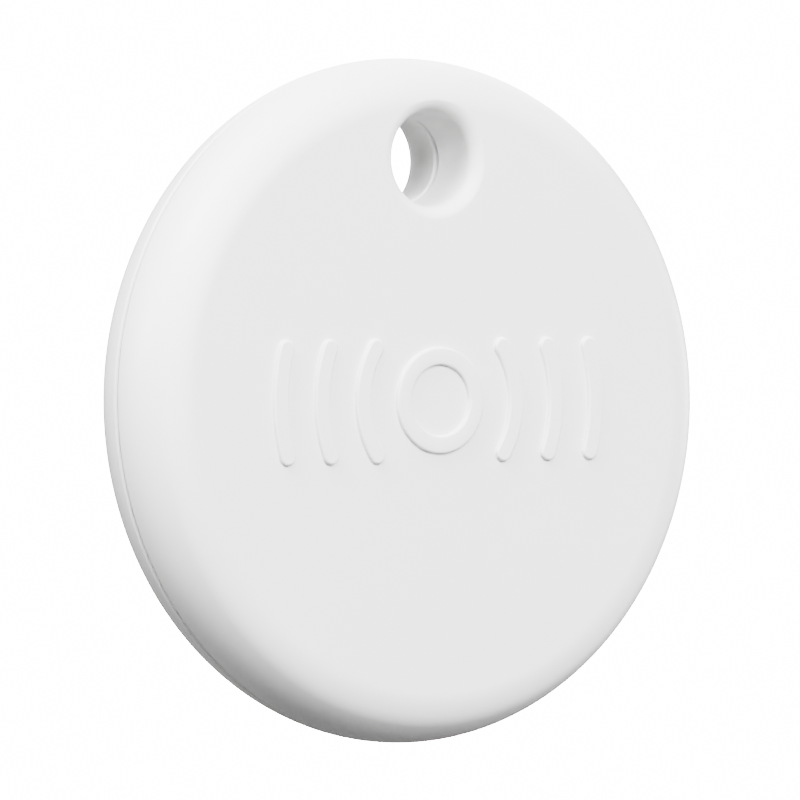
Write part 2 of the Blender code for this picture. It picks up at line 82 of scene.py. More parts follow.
# ---- sizes, in millimetres; Y runs from the front (-) to the rear (+) ----
DISC = middle("rear_cover") / MM
HOLE = Vector(next(m["pos_m"] for m in frame["record"]["mounts"] if m["name"] == "keyring_hole")) / MM
CELL = middle("battery_can") / MM
COVER_FACETS = 64
RADIUS = size("rear_cover").x / 2 / MM / math.cos(math.pi / COVER_FACETS)
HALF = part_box("rear_cover")[1].y / MM
CELL_RADIUS = size("battery_can").x / 2 / MM
BLEND_RADIUS = 3.0      # edge curve beside the face, up to BLEND_END degrees from its direction
BLEND_END = 25
CORNER_RADIUS = 1.85    # then tighter, up to CORNER_END degrees
CORNER_END = 52
FRONT_WALL = 0.8
REAR_WALL = 0.65
CAVITY_RADIUS = 17.6
SEAL_RADIUS = 18.55
SEAM_GAP = 0.22
FRONT_EDGE = 0.04       # rounding of each shell's edge beside the seam
REAR_EDGE = 0.18
HOLE_RADIUS = 2.42
HOLE_SEAM_Y = -0.3
REAR_HOLE_RADIUS = 2.8
REAR_LIP = 1.1
MOUTH_RADIUS = 3.5      # the mouth's rounding, from its start on the face
MOUTH_WIDTH = 0.8
MOUTH_DEPTH = 0.85
TUBE_EDGE = 0.25        # rounding of the rear tube inside the hole
BOSS_RADIUS = 3.9
SYMBOL_HEIGHT = 0.24
SYMBOL_EDGE = 0.14
STROKE = 1.0
SYMBOL_HALF_HEIGHT = 3.5
PEG_PLACES = ((13.6, 3.5), (-13.6, 3.5), (0, -15.3))


# ---- mesh helpers: shapes are drawn in millimetres round their own axis, which runs along Y ----
def as_object(name, bm, place=(0, 0, 0)):
    bmesh.ops.recalc_face_normals(bm, faces=bm.faces)
    bmesh.ops.translate(bm, vec=(place[0], 0, place[2]), verts=bm.verts)
    bmesh.ops.scale(bm, vec=(MM, MM, MM), verts=bm.verts)
    mesh = bpy.data.meshes.new(name)
    bm.to_mesh(mesh)
    bm.free()
    obj = bpy.data.objects.new(name, mesh)
    bpy.context.collection.objects.link(obj)
    return obj


def arc(centre_r, centre_y, radius, start, end, count):
    """Points (r, y) along an arc; angles are in degrees from the outward radius."""
    points = []
    for i in range(count + 1):
        angle = math.radians(start + (end - start) * i / count)
        points.append((centre_r + radius * math.cos(angle), centre_y + radius * math.sin(angle)))
    return points


def turned(profile, steps, turn=0.0):
    """A closed solid turned about Y; a profile point on the axis makes flat caps beside it."""
    bm = bmesh.new()
    rings = []
    for r, y in profile:
        if r < 1e-6:
            rings.append(None)
            continue
        angles = [2 * math.pi * (i + turn) / steps for i in range(steps)]
        rings.append([bm.verts.new((r * math.cos(a), y, r * math.sin(a))) for a in angles])
    for ring, following in zip(rings, rings[1:] + rings[:1]):
        if ring and following:
            for i in range(steps):
                j = (i + 1) % steps
                bm.faces.new((ring[i], ring[j], following[j], following[i]))
        elif ring or following:
            bm.faces.new(ring or following)
    return bm


def washer(inner, outer, front, rear, steps=128, turn=0.0):
    return turned([(inner, front), (outer, front), (outer, rear), (inner, rear)], steps, turn)


def lofted(loops):
    """A closed solid through stacked loops of points, flat at both ends."""
    bm = bmesh.new()
    rings = [[bm.verts.new(p) for p in loop] for loop in loops]
    count = len(rings[0])
    for ring, following in zip(rings, rings[1:]):
        for i in range(count):
            j = (i + 1) % count
            bm.faces.new((ring[i], ring[j], following[j], following[i]))
    bm.faces.new(rings[0])
    bm.faces.new(rings[-1])
    return bm


def apply_modifiers(obj):
    graph = bpy.context.evaluated_depsgraph_get()
    mesh = bpy.data.meshes.new_from_object(obj.evaluated_get(graph))
    obj.modifiers.clear()
    obj.data = mesh


def combine(obj, tools):
    """Join or cut the tools, each (object, operation), and drop them."""
    for tool, operation in tools:
        modifier = obj.modifiers.new(tool.name, "BOOLEAN")
        modifier.operation = operation
        modifier.object = tool
    apply_modifiers(obj)
    for tool, _ in tools:
        bpy.data.objects.remove(tool, do_unlink=True)
    return obj


def smooth(obj, angle=32):
    """Smooth shading that keeps flat faces flat."""
    obj.data.shade_smooth()
    obj.data.set_sharp_from_angle(angle=math.radians(angle))
    weighted = obj.modifiers.new("flat_faces", "WEIGHTED_NORMAL")
    weighted.keep_sharp = True
    return obj


def finish_piece(obj, body, slot, material, *nodes):
    obj.data.materials.clear()
    obj.data.materials.append(material)
    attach(obj, body)
    if nodes:
        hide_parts(*nodes)
    return obj


# ---- the two shells ----
def edge_profile(side):
    """Outer edge of one shell from the seam to its face, as three arcs that run into each other.

    Their angles are measured from the face's direction. side is -1 front, 1 rear.
    """
    sin_blend, cos_blend = math.sin(math.radians(BLEND_END)), math.cos(math.radians(BLEND_END))
    sin_corner, cos_corner = math.sin(math.radians(CORNER_END)), math.cos(math.radians(CORNER_END))
    dropped = BLEND_RADIUS * (1 - cos_blend) + CORNER_RADIUS * (cos_blend - cos_corner)
    side_radius = (HALF - dropped) / cos_corner
    corner_r = RADIUS - side_radius + (side_radius - CORNER_RADIUS) * sin_corner
    corner_y = (side_radius - CORNER_RADIUS) * cos_corner
    blend_r = corner_r - (BLEND_RADIUS - CORNER_RADIUS) * sin_blend
    edge = FRONT_EDGE if side < 0 else REAR_EDGE
    start_y = SEAM_GAP / 2 + edge
    seam_angle = math.degrees(math.asin(start_y / side_radius))
    seam_r = RADIUS - side_radius * (1 - math.cos(math.radians(seam_angle)))
    lip = arc(seam_r - edge, start_y, edge, -90, 0, 8)
    barrel = arc(RADIUS - side_radius, 0, side_radius, seam_angle, 90 - CORNER_END, 14)
    corner = arc(corner_r, corner_y, CORNER_RADIUS, 90 - CORNER_END, 90 - BLEND_END, 12)
    blend = arc(blend_r, HALF - BLEND_RADIUS, BLEND_RADIUS, 90 - BLEND_END, 90, 10)
    return [(r, side * y) for r, y in lip + barrel[1:] + corner[1:] + blend[1:]]


def shell(name, side, wall):
    """A dished shell with a stepped lip for the rim seal."""
    lip = SEAM_GAP / 2
    inside = HALF - wall
    inner = arc(CAVITY_RADIUS - 0.8, inside - 0.8, 0.8, 90, 0, 8)
    profile = edge_profile(side) + [(0, side * HALF), (0, side * inside)]
    profile += [(r, side * y) for r, y in inner]
    profile += [(CAVITY_RADIUS, side * (lip + 0.5)), (SEAL_RADIUS, side * (lip + 0.5))]
    profile.append((SEAL_RADIUS, side * lip))
    return as_object(name, turned(profile, 240), DISC)


def boss(name, start, end, step):
    """The tube round the hole, stepped back at the end to leave room for a seal."""
    lip = HOLE_RADIUS + 0.62
    profile = [(0, start), (BOSS_RADIUS, start), (BOSS_RADIUS, end - step), (lip, end - step)]
    return as_object(name, turned(profile + [(lip, end), (0, end)], 120, 0.5), HOLE)


def stroke_loop(radius, start, end, half_width, y):
    """Outline of a round-ended stroke that follows an arc about the disc's axis."""
    points = []
    for i in range(25):
        angle = math.radians(start + (end - start) * i / 24)
        points.append(((radius + half_width) * math.cos(angle), y, (radius + half_width) * math.sin(angle)))
    for last, turn, first_step in ((end, 1, 1), (start, -1, 1)):
        angle = math.radians(last)
        centre = Vector((radius * math.cos(angle), y, radius * math.sin(angle)))
        out = Vector((math.cos(angle), 0, math.sin(angle)))
        along = Vector((-math.sin(angle), 0, math.cos(angle))) * turn
        cap = []
        for k in range(first_step, 12):
            bend = math.pi * k / 12
            cap.append(centre + out * turn * math.cos(bend) * half_width + along * math.sin(bend) * half_width)
        points += cap
        if turn == 1:
            for i in range(24, -1, -1):
                inner = math.radians(start + (end - start) * i / 24)
                r = radius - half_width
                points.append((r * math.cos(inner), y, r * math.sin(inner)))
    return points


def relief_steps():
    """(narrowing, height) of a raised stroke from inside the wall to its rounded top."""
    steps = [(-0.06, -0.25), (-0.03, 0.0), (0.0, 0.03)]
    for i in range(6):
        angle = math.radians(90 * i / 5)
        steps.append((SYMBOL_EDGE * (1 - math.cos(angle)),
                      SYMBOL_HEIGHT - SYMBOL_EDGE + SYMBOL_EDGE * math.sin(angle)))
    return steps


def wave_symbol():
    """Raised ring between three sound-wave arcs on each side."""
    tools = []
    ring = [(2.5 + STROKE / 2 - inset, -HALF - height) for inset, height in relief_steps()]
    ring += [(2.5 - STROKE / 2 + inset, -HALF - height) for inset, height in reversed(relief_steps())]
    tools.append((as_object("tool_ring", turned(ring, 96, 0.5), DISC), "UNION"))
    for radius in (5.3, 8.1, 10.9):
        spread = math.degrees(math.asin((SYMBOL_HALF_HEIGHT - STROKE / 2) / radius))
        for middle_angle in (0, 180):
            loops = []
            for inset, height in relief_steps():
                loops.append(stroke_loop(radius, middle_angle - spread, middle_angle + spread,
                                         STROKE / 2 - inset, -HALF - height))
            tools.append((as_object("tool_wave", lofted(loops), DISC), "UNION"))
    return tools


def front_shell(plastic):
    obj = shell("front_shell", -1, FRONT_WALL)
    inside = -HALF + FRONT_WALL
    boss_end = HOLE_SEAM_Y - SEAM_GAP / 2
    bore = [(0, -HALF - 1), (MOUTH_RADIUS + 0.15, -HALF - 1), (MOUTH_RADIUS + 0.15, -HALF - 0.02)]
    for i in range(20):
        angle = math.radians(8 + 82 * i / 19)
        r = MOUTH_RADIUS - MOUTH_WIDTH * math.sin(angle)
        bore.append((r, -HALF + MOUTH_DEPTH * (1 - math.cos(angle))))
    bore += [(HOLE_RADIUS, boss_end - 0.06), (HOLE_RADIUS + 0.05, boss_end + 0.02)]
    bore += [(HOLE_RADIUS + 0.05, 0.6), (0, 0.6)]
    sounder = middle("sounder_plate") / MM
    rib_radius = size("sounder_plate").x / 2 / MM
    rib = washer(rib_radius + 0.2, rib_radius + 0.8, inside - 0.3, inside + 0.45, 96, 0.5)
    tools = [
        (boss("tool_boss", inside - 0.4, boss_end, 0.45), "UNION"),
        (as_object("tool_rib", rib, sounder), "UNION"),
        (as_object("tool_bore", turned(bore, 144), HOLE), "DIFFERENCE"),
    ]
    combine(obj, tools + wave_symbol())
    finish_piece(smooth(obj), "front", "white_plastic", plastic, "front_cover")


def rear_shell(plastic):
    obj = shell("rear_shell", 1, REAR_WALL)
    inside = HALF - REAR_WALL
    boss_end = HOLE_SEAM_Y + SEAM_GAP / 2
    edge_r = HOLE_RADIUS + TUBE_EDGE
    bore = [(0, boss_end - 1), (edge_r + 0.1, boss_end - 1), (edge_r + 0.1, boss_end - 0.015)]
    bore += arc(edge_r, boss_end + TUBE_EDGE, TUBE_EDGE, 262, 180, 10)
    bore += arc(REAR_HOLE_RADIUS + REAR_LIP, HALF - REAR_LIP, REAR_LIP, 180, 90, 14)
    bore += [(REAR_HOLE_RADIUS + REAR_LIP, HALF + 1), (0, HALF + 1)]
    tools = [(boss("tool_boss", inside + 0.3, boss_end, -0.45), "UNION")]
    for x, z in PEG_PLACES:
        peg = [(0, inside + 0.3), (0.65, inside + 0.3), (0.65, 0.8), (0.45, 0.6), (0, 0.6)]
        place = (DISC.x + x, 0, DISC.z + z)
        tools.append((as_object("tool_peg", turned(peg, 40, 0.5), place), "UNION"))
    tools.append((as_object("tool_bore", turned(bore, 144), HOLE), "DIFFERENCE"))
    combine(obj, tools)
    finish_piece(smooth(obj), "rear", "white_plastic", plastic, "rear_cover")


# ---- effects shared by the finishes: node groups that put out masks and heights ----
def effect(name, inputs, outputs):
    """An empty group with named inputs (label, kind, value) and outputs (labels of values)."""
    group = bpy.data.node_groups.new(name, "ShaderNodeTree")
    for label, kind, value in inputs:
        socket = group.interface.new_socket(label, in_out="INPUT", socket_type="NodeSocket" + kind)
        socket.default_value = value
    for label in outputs:
        group.interface.new_socket(label, in_out="OUTPUT", socket_type="NodeSocketFloat")
    start = group.nodes.new("NodeGroupInput")
    end = group.nodes.new("NodeGroupOutput")
    return group, start.outputs, end.inputs


def feed(tree, socket, value):
    if isinstance(value, bpy.types.NodeSocket):
        tree.links.new(value, socket)
    else:
        socket.default_value = value


def sums(tree, operation, a, b=0.0, clamp=False):
    node = tree.nodes.new("ShaderNodeMath")
    node.operation = operation
    node.use_clamp = clamp
    feed(tree, node.inputs[0], a)
    feed(tree, node.inputs[1], b)
    return node.outputs[0]


def stretch(tree, value, low, high, out_low=0.0, out_high=1.0):
    """Map low..high onto out_low..out_high, and hold it there."""
    node = tree.nodes.new("ShaderNodeMapRange")
    for label, number in (("Value", value), ("From Min", low), ("From Max", high),
                          ("To Min", out_low), ("To Max", out_high)):
        feed(tree, node.inputs[label], number)
    return node.outputs["Result"]


def place_on_part(tree):
    return tree.nodes.new("ShaderNodeTexCoord").outputs["Object"]


def per_metre(tree, millimetres):
    return sums(tree, "DIVIDE", 1000.0, millimetres)


def noise(tree, where, scale, detail=2.0, dimensions="3D"):
    node = tree.nodes.new("ShaderNodeTexNoise")
    node.noise_dimensions = dimensions
    feed(tree, node.inputs["W" if dimensions == "1D" else "Vector"], where)
    feed(tree, node.inputs["Scale"], scale)
    node.inputs["Detail"].default_value = detail
    return node.outputs["Fac"]


def mould_grain():
    """Fine spark-eroded grain, and broad patches where the mould filled differently."""
    group, given, made = effect("mould_grain", [("Grain Size", "Float", 0.1), ("Patch Size", "Float", 6.0)],
                                ["Height", "Patches"])
    where = place_on_part(group)
    grain = noise(group, where, per_metre(group, given["Grain Size"]), 1.0)
    patches = noise(group, where, per_metre(group, given["Patch Size"]), 3.0)
    group.links.new(grain, made["Height"])
    group.links.new(stretch(group, patches, 0.32, 0.68), made["Patches"])
    return group


def rim_highlight_and_polish():
    """The rim of a round piece, broken up into patches: there the finishes paint a lighter highlight colour, and
    plastic is also made glossier, as polished by handling.
    """
    group, given, made = effect("rim_highlight_and_polish", [("Centre", "Vector", (0, 0, 0)), ("Radius", "Float", 19.0),
                                               ("Width", "Float", 0.6), ("Patch Size", "Float", 2.0)], ["Mask"])
    where = place_on_part(group)
    off_rim = sums(group, "SUBTRACT", from_axis(group, where, given["Centre"]),
                   sums(group, "MULTIPLY", given["Radius"], MM))
    width = sums(group, "MULTIPLY", given["Width"], MM)
    near = stretch(group, sums(group, "DIVIDE", sums(group, "ABSOLUTE", off_rim), width), 0.2, 1.0, 1.0, 0.0)
    broken = noise(group, where, per_metre(group, given["Patch Size"]), 4.0)
    group.links.new(sums(group, "MULTIPLY", near, stretch(group, broken, 0.38, 0.62)), made["Mask"])
    return group


def from_axis(tree, where, centre):
    """Distance from the axis that runs along Y through the centre."""
    away = tree.nodes.new("ShaderNodeVectorMath")
    away.operation = "SUBTRACT"
    tree.links.new(where, away.inputs[0])
    tree.links.new(centre, away.inputs[1])
    flat = tree.nodes.new("ShaderNodeVectorMath")
    flat.operation = "MULTIPLY"
    flat.inputs[1].default_value = (1, 0, 1)
    tree.links.new(away.outputs[0], flat.inputs[0])
    length = tree.nodes.new("ShaderNodeVectorMath")
    length.operation = "LENGTH"
    tree.links.new(flat.outputs[0], length.inputs[0])
    return length.outputs["Value"]


def turned_marks():
    """Rings left by drawing or turning, about an axis along Y through the centre."""
    group, given, made = effect("turned_marks", [("Centre", "Vector", (0, 0, 0)), ("Spacing", "Float", 0.15)],
                                ["Height"])
    away = from_axis(group, place_on_part(group), given["Centre"])
    rings = noise(group, away, per_metre(group, given["Spacing"]), 3.0, "1D")
    group.links.new(rings, made["Height"])
    return group


def rolled_marks():
    """Long fine lines left by rolling sheet metal; the stretch is small along the lines."""
    group, given, made = effect("rolled_marks", [("Stretch", "Vector", (0.03, 1, 1)), ("Spacing", "Float", 0.08)],
                                ["Height"])
    thin = group.nodes.new("ShaderNodeVectorMath")
    thin.operation = "MULTIPLY"
    group.links.new(place_on_part(group), thin.inputs[0])
    group.links.new(given["Stretch"], thin.inputs[1])
    lines = noise(group, thin.outputs[0], per_metre(group, given["Spacing"]), 3.0)
    group.links.new(lines, made["Height"])
    return group


def pebbles():
    """Small round bumps or pores side by side."""
    group, given, made = effect("pebbles", [("Size", "Float", 0.25)], ["Height"])
    cells = group.nodes.new("ShaderNodeTexVoronoi")
    cells.feature = "SMOOTH_F1"
    group.links.new(place_on_part(group), cells.inputs["Vector"])
    group.links.new(per_metre(group, given["Size"]), cells.inputs["Scale"])
    group.links.new(stretch(group, cells.outputs["Distance"], 0.1, 0.7, 1.0, 0.0), made["Height"])
    return group


def specks():
    """Scattered small specks, such as filler in a moulding or pores in a fired part."""
    group, given, made = effect("specks", [("Size", "Float", 0.1), ("Share", "Float", 0.4)], ["Mask"])
    dots = noise(group, place_on_part(group), per_metre(group, given["Size"]), 0.0)
    edge = sums(group, "SUBTRACT", 1.0, given["Share"])
    group.links.new(stretch(group, dots, edge, sums(group, "ADD", edge, 0.08)), made["Mask"])
    return group


def glass_weave():
    """Crossing bundles of glass fibre that show faintly through the board."""
    group, given, made = effect("glass_weave", [("Bundle", "Float", 0.4)], ["Mask"])
    parts = group.nodes.new("ShaderNodeSeparateXYZ")
    group.links.new(place_on_part(group), parts.inputs[0])
    turn = sums(group, "MULTIPLY", per_metre(group, given["Bundle"]), math.pi)
    waves = []
    for label in ("X", "Z"):
        waves.append(sums(group, "SINE", sums(group, "MULTIPLY", parts.outputs[label], turn)))
    both = sums(group, "MULTIPLY", waves[0], waves[1])
    group.links.new(stretch(group, both, -1.0, 1.0), made["Mask"])
    return group


GRAIN, RIM_HIGHLIGHT_AND_POLISH, TURNED, ROLLED = mould_grain(), rim_highlight_and_polish(), turned_marks(), rolled_marks()
PEBBLES, SPECKS, WEAVE = pebbles(), specks(), glass_weave()


# ---- finishes ----
def new_material(name, colour, roughness, metallic=0.0):
    mat = bpy.data.materials.new(name)
    mat.use_nodes = True
    shader = mat.node_tree.nodes["Principled BSDF"]
    shader.inputs["Base Color"].default_value = (*colour, 1)
    shader.inputs["Roughness"].default_value = roughness
    shader.inputs["Metallic"].default_value = metallic
    return mat, mat.node_tree, shader


def with_effect(tree, group, **values):
    """Place a shared effect with its own values; underscores stand for the spaces in a label."""
    node = tree.nodes.new("ShaderNodeGroup")
    node.node_tree = group
    for label, value in values.items():
        node.inputs[label.replace("_", " ")].default_value = value
    return node.outputs


def two_tone(tree, mask, colour, other):
    """The first colour where the mask is 0, the other where it is 1."""
    mix = tree.nodes.new("ShaderNodeMix")
    mix.data_type = "RGBA"
    tree.links.new(mask, mix.inputs[0])
    feed(tree, mix.inputs[6], colour if isinstance(colour, bpy.types.NodeSocket) else (*colour, 1))
    feed(tree, mix.inputs[7], (*other, 1))
    return mix.outputs[2]


def relief(tree, shader, height, depth, strength=1.0):
    """Bump whose full height is the depth, in micrometres."""
    bump = tree.nodes.new("ShaderNodeBump")
    bump.inputs["Strength"].default_value = strength
    bump.inputs["Distance"].default_value = depth * 1e-6
    tree.links.new(height, bump.inputs["Height"])
    tree.links.new(bump.outputs["Normal"], shader.inputs["Normal"])


def moulded(name, colour, tint, rough, grain, depth, patch=6.0, rim=None):
    """Moulded plastic or rubber: grain and patchy gloss; rim is (radius, width, colour) of a lighter painted highlight
    round the rim, which is also polished glossier there by handling.
    """
    mat, tree, shader = new_material(name, colour, rough[0])
    surface = with_effect(tree, GRAIN, Grain_Size=grain, Patch_Size=patch)
    base = two_tone(tree, surface["Patches"], colour, tint)
    gloss = stretch(tree, surface["Patches"], 0.0, 1.0, rough[0], rough[1])
    if rim:
        rim_highlight = with_effect(tree, RIM_HIGHLIGHT_AND_POLISH, Centre=DISC * MM, Radius=rim[0], Width=rim[1], Patch_Size=1.6)["Mask"]
        # painted highlight: the rim's colour goes lighter; the roughness below also drops there as real polish
        base = two_tone(tree, rim_highlight, base, rim[2])
        gloss = sums(tree, "SUBTRACT", gloss, sums(tree, "MULTIPLY", rim_highlight, 0.08))
    tree.links.new(base, shader.inputs["Base Color"])
    tree.links.new(gloss, shader.inputs["Roughness"])
    relief(tree, shader, surface["Height"], depth)
    return mat


def drawn_metal(name, colour, tint, rough, centre, radius, spacing, depth, bumps=None):
    """Pressed or turned metal: rings about its axis, stains, a brighter painted highlight round its rim, and pebbling
    on the cell's lid.
    """
    mat, tree, shader = new_material(name, colour, rough[0], 1.0)
    rings = with_effect(tree, TURNED, Centre=centre, Spacing=spacing)["Height"]
    surface = with_effect(tree, GRAIN, Grain_Size=0.3, Patch_Size=4.0)
    rim_highlight = with_effect(tree, RIM_HIGHLIGHT_AND_POLISH, Centre=centre, Radius=radius, Width=0.35, Patch_Size=1.0)["Mask"]
    # painted highlight: the rim is painted 15% brighter; the roughness doesn't follow it
    highlight_colour = tuple(min(1.0, 1.15 * part) for part in colour)
    base = two_tone(tree, rim_highlight, two_tone(tree, surface["Patches"], colour, tint), highlight_colour)
    tree.links.new(base, shader.inputs["Base Color"])
    mixed = sums(tree, "MULTIPLY", sums(tree, "ADD", rings, surface["Patches"]), 0.5)
    tree.links.new(stretch(tree, mixed, 0.2, 0.8, rough[0], rough[1]), shader.inputs["Roughness"])
    if bumps:
        rings = sums(tree, "ADD", with_effect(tree, PEBBLES, Size=bumps)["Height"], rings)
    relief(tree, shader, rings, depth)
    return mat


def sheet_metal(name, colour, tint, rough, stretch_along, spacing, depth):
    """Rolled strip or tinned metal: long fine lines and patches of tarnish."""
    mat, tree, shader = new_material(name, colour, rough[0], 1.0)
    lines = with_effect(tree, ROLLED, Stretch=stretch_along, Spacing=spacing)["Height"]
    surface = with_effect(tree, GRAIN, Grain_Size=0.2, Patch_Size=1.5)
    tree.links.new(two_tone(tree, surface["Patches"], colour, tint), shader.inputs["Base Color"])
    tree.links.new(stretch(tree, lines, 0.3, 0.7, rough[0], rough[1]), shader.inputs["Roughness"])
    relief(tree, shader, lines, depth)
    return mat


def fired(name, colour, speck_colour, rough, speck, share, depth):
    """Pressed and fired powder or filled epoxy: specks, pores and a dry surface."""
    mat, tree, shader = new_material(name, colour, rough[0])
    surface = with_effect(tree, GRAIN, Grain_Size=0.06, Patch_Size=1.2)
    dots = with_effect(tree, SPECKS, Size=speck, Share=share)["Mask"]
    tree.links.new(two_tone(tree, dots, colour, speck_colour), shader.inputs["Base Color"])
    tree.links.new(stretch(tree, surface["Patches"], 0.0, 1.0, rough[0], rough[1]), shader.inputs["Roughness"])
    relief(tree, shader, surface["Height"], depth)
    return mat


def satin_white():
    """The shells: satin white plastic with an even, barely visible grain, and a lighter painted highlight round the
    rim, where it is also glossier.
    """
    return moulded("white_plastic", (0.855, 0.856, 0.852), (0.866, 0.866, 0.863), (0.40, 0.47), 0.09, 0.8,
                   7.0, (RADIUS - 0.4, 0.5, (0.875, 0.875, 0.873)))


def solder_mask():
    """Green lacquer over glass cloth; the cut edge and drilled holes show the bare laminate."""
    mat, tree, shader = new_material("solder_mask", (0.012, 0.13, 0.07), 0.32)
    weave = with_effect(tree, WEAVE, Bundle=0.3)["Mask"]
    surface = with_effect(tree, GRAIN, Grain_Size=0.15, Patch_Size=3.0)
    green = two_tone(tree, weave, (0.010, 0.112, 0.060), (0.012, 0.122, 0.066))
    facing = tree.nodes.new("ShaderNodeSeparateXYZ")
    tree.links.new(tree.nodes.new("ShaderNodeNewGeometry").outputs["Normal"], facing.inputs[0])
    side = stretch(tree, sums(tree, "ABSOLUTE", facing.outputs["Y"]), 0.5, 0.3)
    tree.links.new(two_tone(tree, side, green, (0.42, 0.4, 0.2)), shader.inputs["Base Color"])
    gloss = stretch(tree, surface["Patches"], 0.0, 1.0, 0.28, 0.4)
    tree.links.new(sums(tree, "ADD", gloss, sums(tree, "MULTIPLY", side, 0.35)), shader.inputs["Roughness"])
    relief(tree, shader, sums(tree, "ADD", surface["Height"], weave), 2.0)
    return mat


def soft_foam():
    """Open-cell foam: rounded cells, with painted shade making the pores between them darker."""
    mat, tree, shader = new_material("foam", (0.10, 0.10, 0.11), 0.95)
    cells = with_effect(tree, PEBBLES, Size=0.16)["Height"]
    surface = with_effect(tree, GRAIN, Grain_Size=0.05, Patch_Size=2.0)
    # painted shade: dark where the cells dip into pores, lighter on their tops
    base = two_tone(tree, cells, (0.03, 0.03, 0.033), (0.14, 0.14, 0.15))
    tree.links.new(base, shader.inputs["Base Color"])
    tree.links.new(stretch(tree, surface["Patches"], 0.0, 1.0, 0.88, 0.98), shader.inputs["Roughness"])
    shader.inputs["Sheen Weight"].default_value = 0.2
    relief(tree, shader, sums(tree, "ADD", cells, surface["Height"]), 40.0)
    return mat


def bond_film():
    """Translucent amber film with a matte, slightly wrinkled skin."""
    mat, tree, shader = new_material("bond_film", (0.72, 0.66, 0.48), 0.55)
    surface = with_effect(tree, GRAIN, Grain_Size=0.4, Patch_Size=1.5)
    base = two_tone(tree, surface["Patches"], (0.74, 0.69, 0.52), (0.66, 0.58, 0.38))
    tree.links.new(base, shader.inputs["Base Color"])
    tree.links.new(stretch(tree, surface["Height"], 0.3, 0.7, 0.45, 0.65), shader.inputs["Roughness"])
    relief(tree, shader, surface["Height"], 6.0)
    return mat


# ---- shapes that the inner pieces share ----
def rounded_section(inner, outer, front, rear, radius, count=4):
    """Closed (r, y) section of a ring with round corners."""
    points = []
    corners = ((outer - radius, front + radius, -90), (outer - radius, rear - radius, 0),
               (inner + radius, rear - radius, 90), (inner + radius, front + radius, 180))
    for r, y, start in corners:
        points += arc(r, y, radius, start, start + 90, count)
    return points


def rounded_disc(radius, front, rear, edge, steps=128, turn=0.0):
    profile = [(0, front)] + arc(radius - edge, front + edge, edge, -90, 0, 4)
    profile += arc(radius - edge, rear - edge, edge, 0, 90, 4) + [(0, rear)]
    return turned(profile, steps, turn)


def plain_disc(radius, front, rear, steps=96, turn=0.5):
    return turned([(0, front), (radius, front), (radius, rear), (0, rear)], steps, turn)


def rounded_block(size_x, size_z, front, rear, x=0.0, z=0.0, edge=0.05):
    """A block centred on (x, z) with every edge and corner rounded."""
    bm = bmesh.new()
    bmesh.ops.create_cube(bm, size=1)
    bmesh.ops.scale(bm, vec=(size_x, rear - front, size_z), verts=bm.verts)
    bmesh.ops.translate(bm, vec=(x, (front + rear) / 2, z), verts=bm.verts)
    bmesh.ops.bevel(bm, geom=bm.edges, offset=edge, segments=3, profile=0.5, affect="EDGES")
    return bm


def extruded(outline, start, end, axis="y"):
    """A prism: outline is (a, b) points; it runs from start to end along the axis."""
    order = {"y": lambda a, b, t: (a, t, b), "z": lambda a, b, t: (a, b, t)}[axis]
    return lofted([[order(a, b, start) for a, b in outline], [order(a, b, end) for a, b in outline]])


def eased(path, rounds=3):
    """The path with its corners cut round; the two ends stay."""
    for _ in range(rounds):
        softer = [path[0]]
        for a, b in zip(path, path[1:]):
            softer.append(tuple(Vector(a).lerp(Vector(b), 0.25)))
            softer.append(tuple(Vector(a).lerp(Vector(b), 0.75)))
        path = softer + [path[-1]]
    return path


def ribbon(path, width):
    """The outline of a ribbon whose middle follows the path's points."""
    left, right = [], []
    for i, point in enumerate(path):
        before = Vector(path[max(i - 1, 0)])
        after = Vector(path[min(i + 1, len(path) - 1)])
        along = (after - before).normalized()
        side = Vector((-along.y, along.x)) * width / 2
        left.append(tuple(Vector(point) + side))
        right.append(tuple(Vector(point) - side))
    return left + right[::-1]


def together(shapes):
    """Several bmeshes as one."""
    whole = bmesh.new()
    for shape in shapes:
        part = bpy.data.meshes.new("part")
        shape.to_mesh(part)
        shape.free()
        whole.from_mesh(part)
        bpy.data.meshes.remove(part)
    return whole


def round_edges(obj, width, angle=40):
    bevel = obj.modifiers.new("rounding", "BEVEL")
    bevel.width = width * MM
    bevel.segments = 2
    bevel.limit_method = "ANGLE"
    bevel.angle_limit = math.radians(angle)
    return obj


# ---- seals, carrier and board ----
def rim_gasket(rubber):
    """Square-section ring with a soft bead that the two shells nip."""
    front, rear = span("rim_seal")
    inner, outer = CAVITY_RADIUS + 0.12, SEAL_RADIUS - 0.1
    centre = (inner + outer) / 2
    section = arc(outer - 0.12, front + 0.3, 0.12, -60, 0, 3) + arc(outer - 0.12, rear - 0.3, 0.12, 0, 60, 3)
    section += arc(centre, rear - 0.2, 0.2, 30, 150, 8)
    section += arc(inner + 0.12, rear - 0.3, 0.12, 120, 180, 3) + arc(inner + 0.12, front + 0.3, 0.12, 180, 240, 3)
    section += arc(centre, front + 0.2, 0.2, 210, 330, 8)
    obj = as_object("rim_gasket", turned(section, 240), DISC)
    finish_piece(smooth(obj, 50), "chassis", "grey_elastomer", rubber, "rim_seal")


def hole_gasket(rubber):
    front, rear = span("hole_seal")
    section = rounded_section(HOLE_RADIUS + 0.7, BOSS_RADIUS - 0.08, front, rear, 0.24, 6)
    obj = as_object("hole_gasket", turned(section, 96), HOLE)
    finish_piece(smooth(obj, 50), "chassis", "grey_elastomer", rubber, "hole_seal")


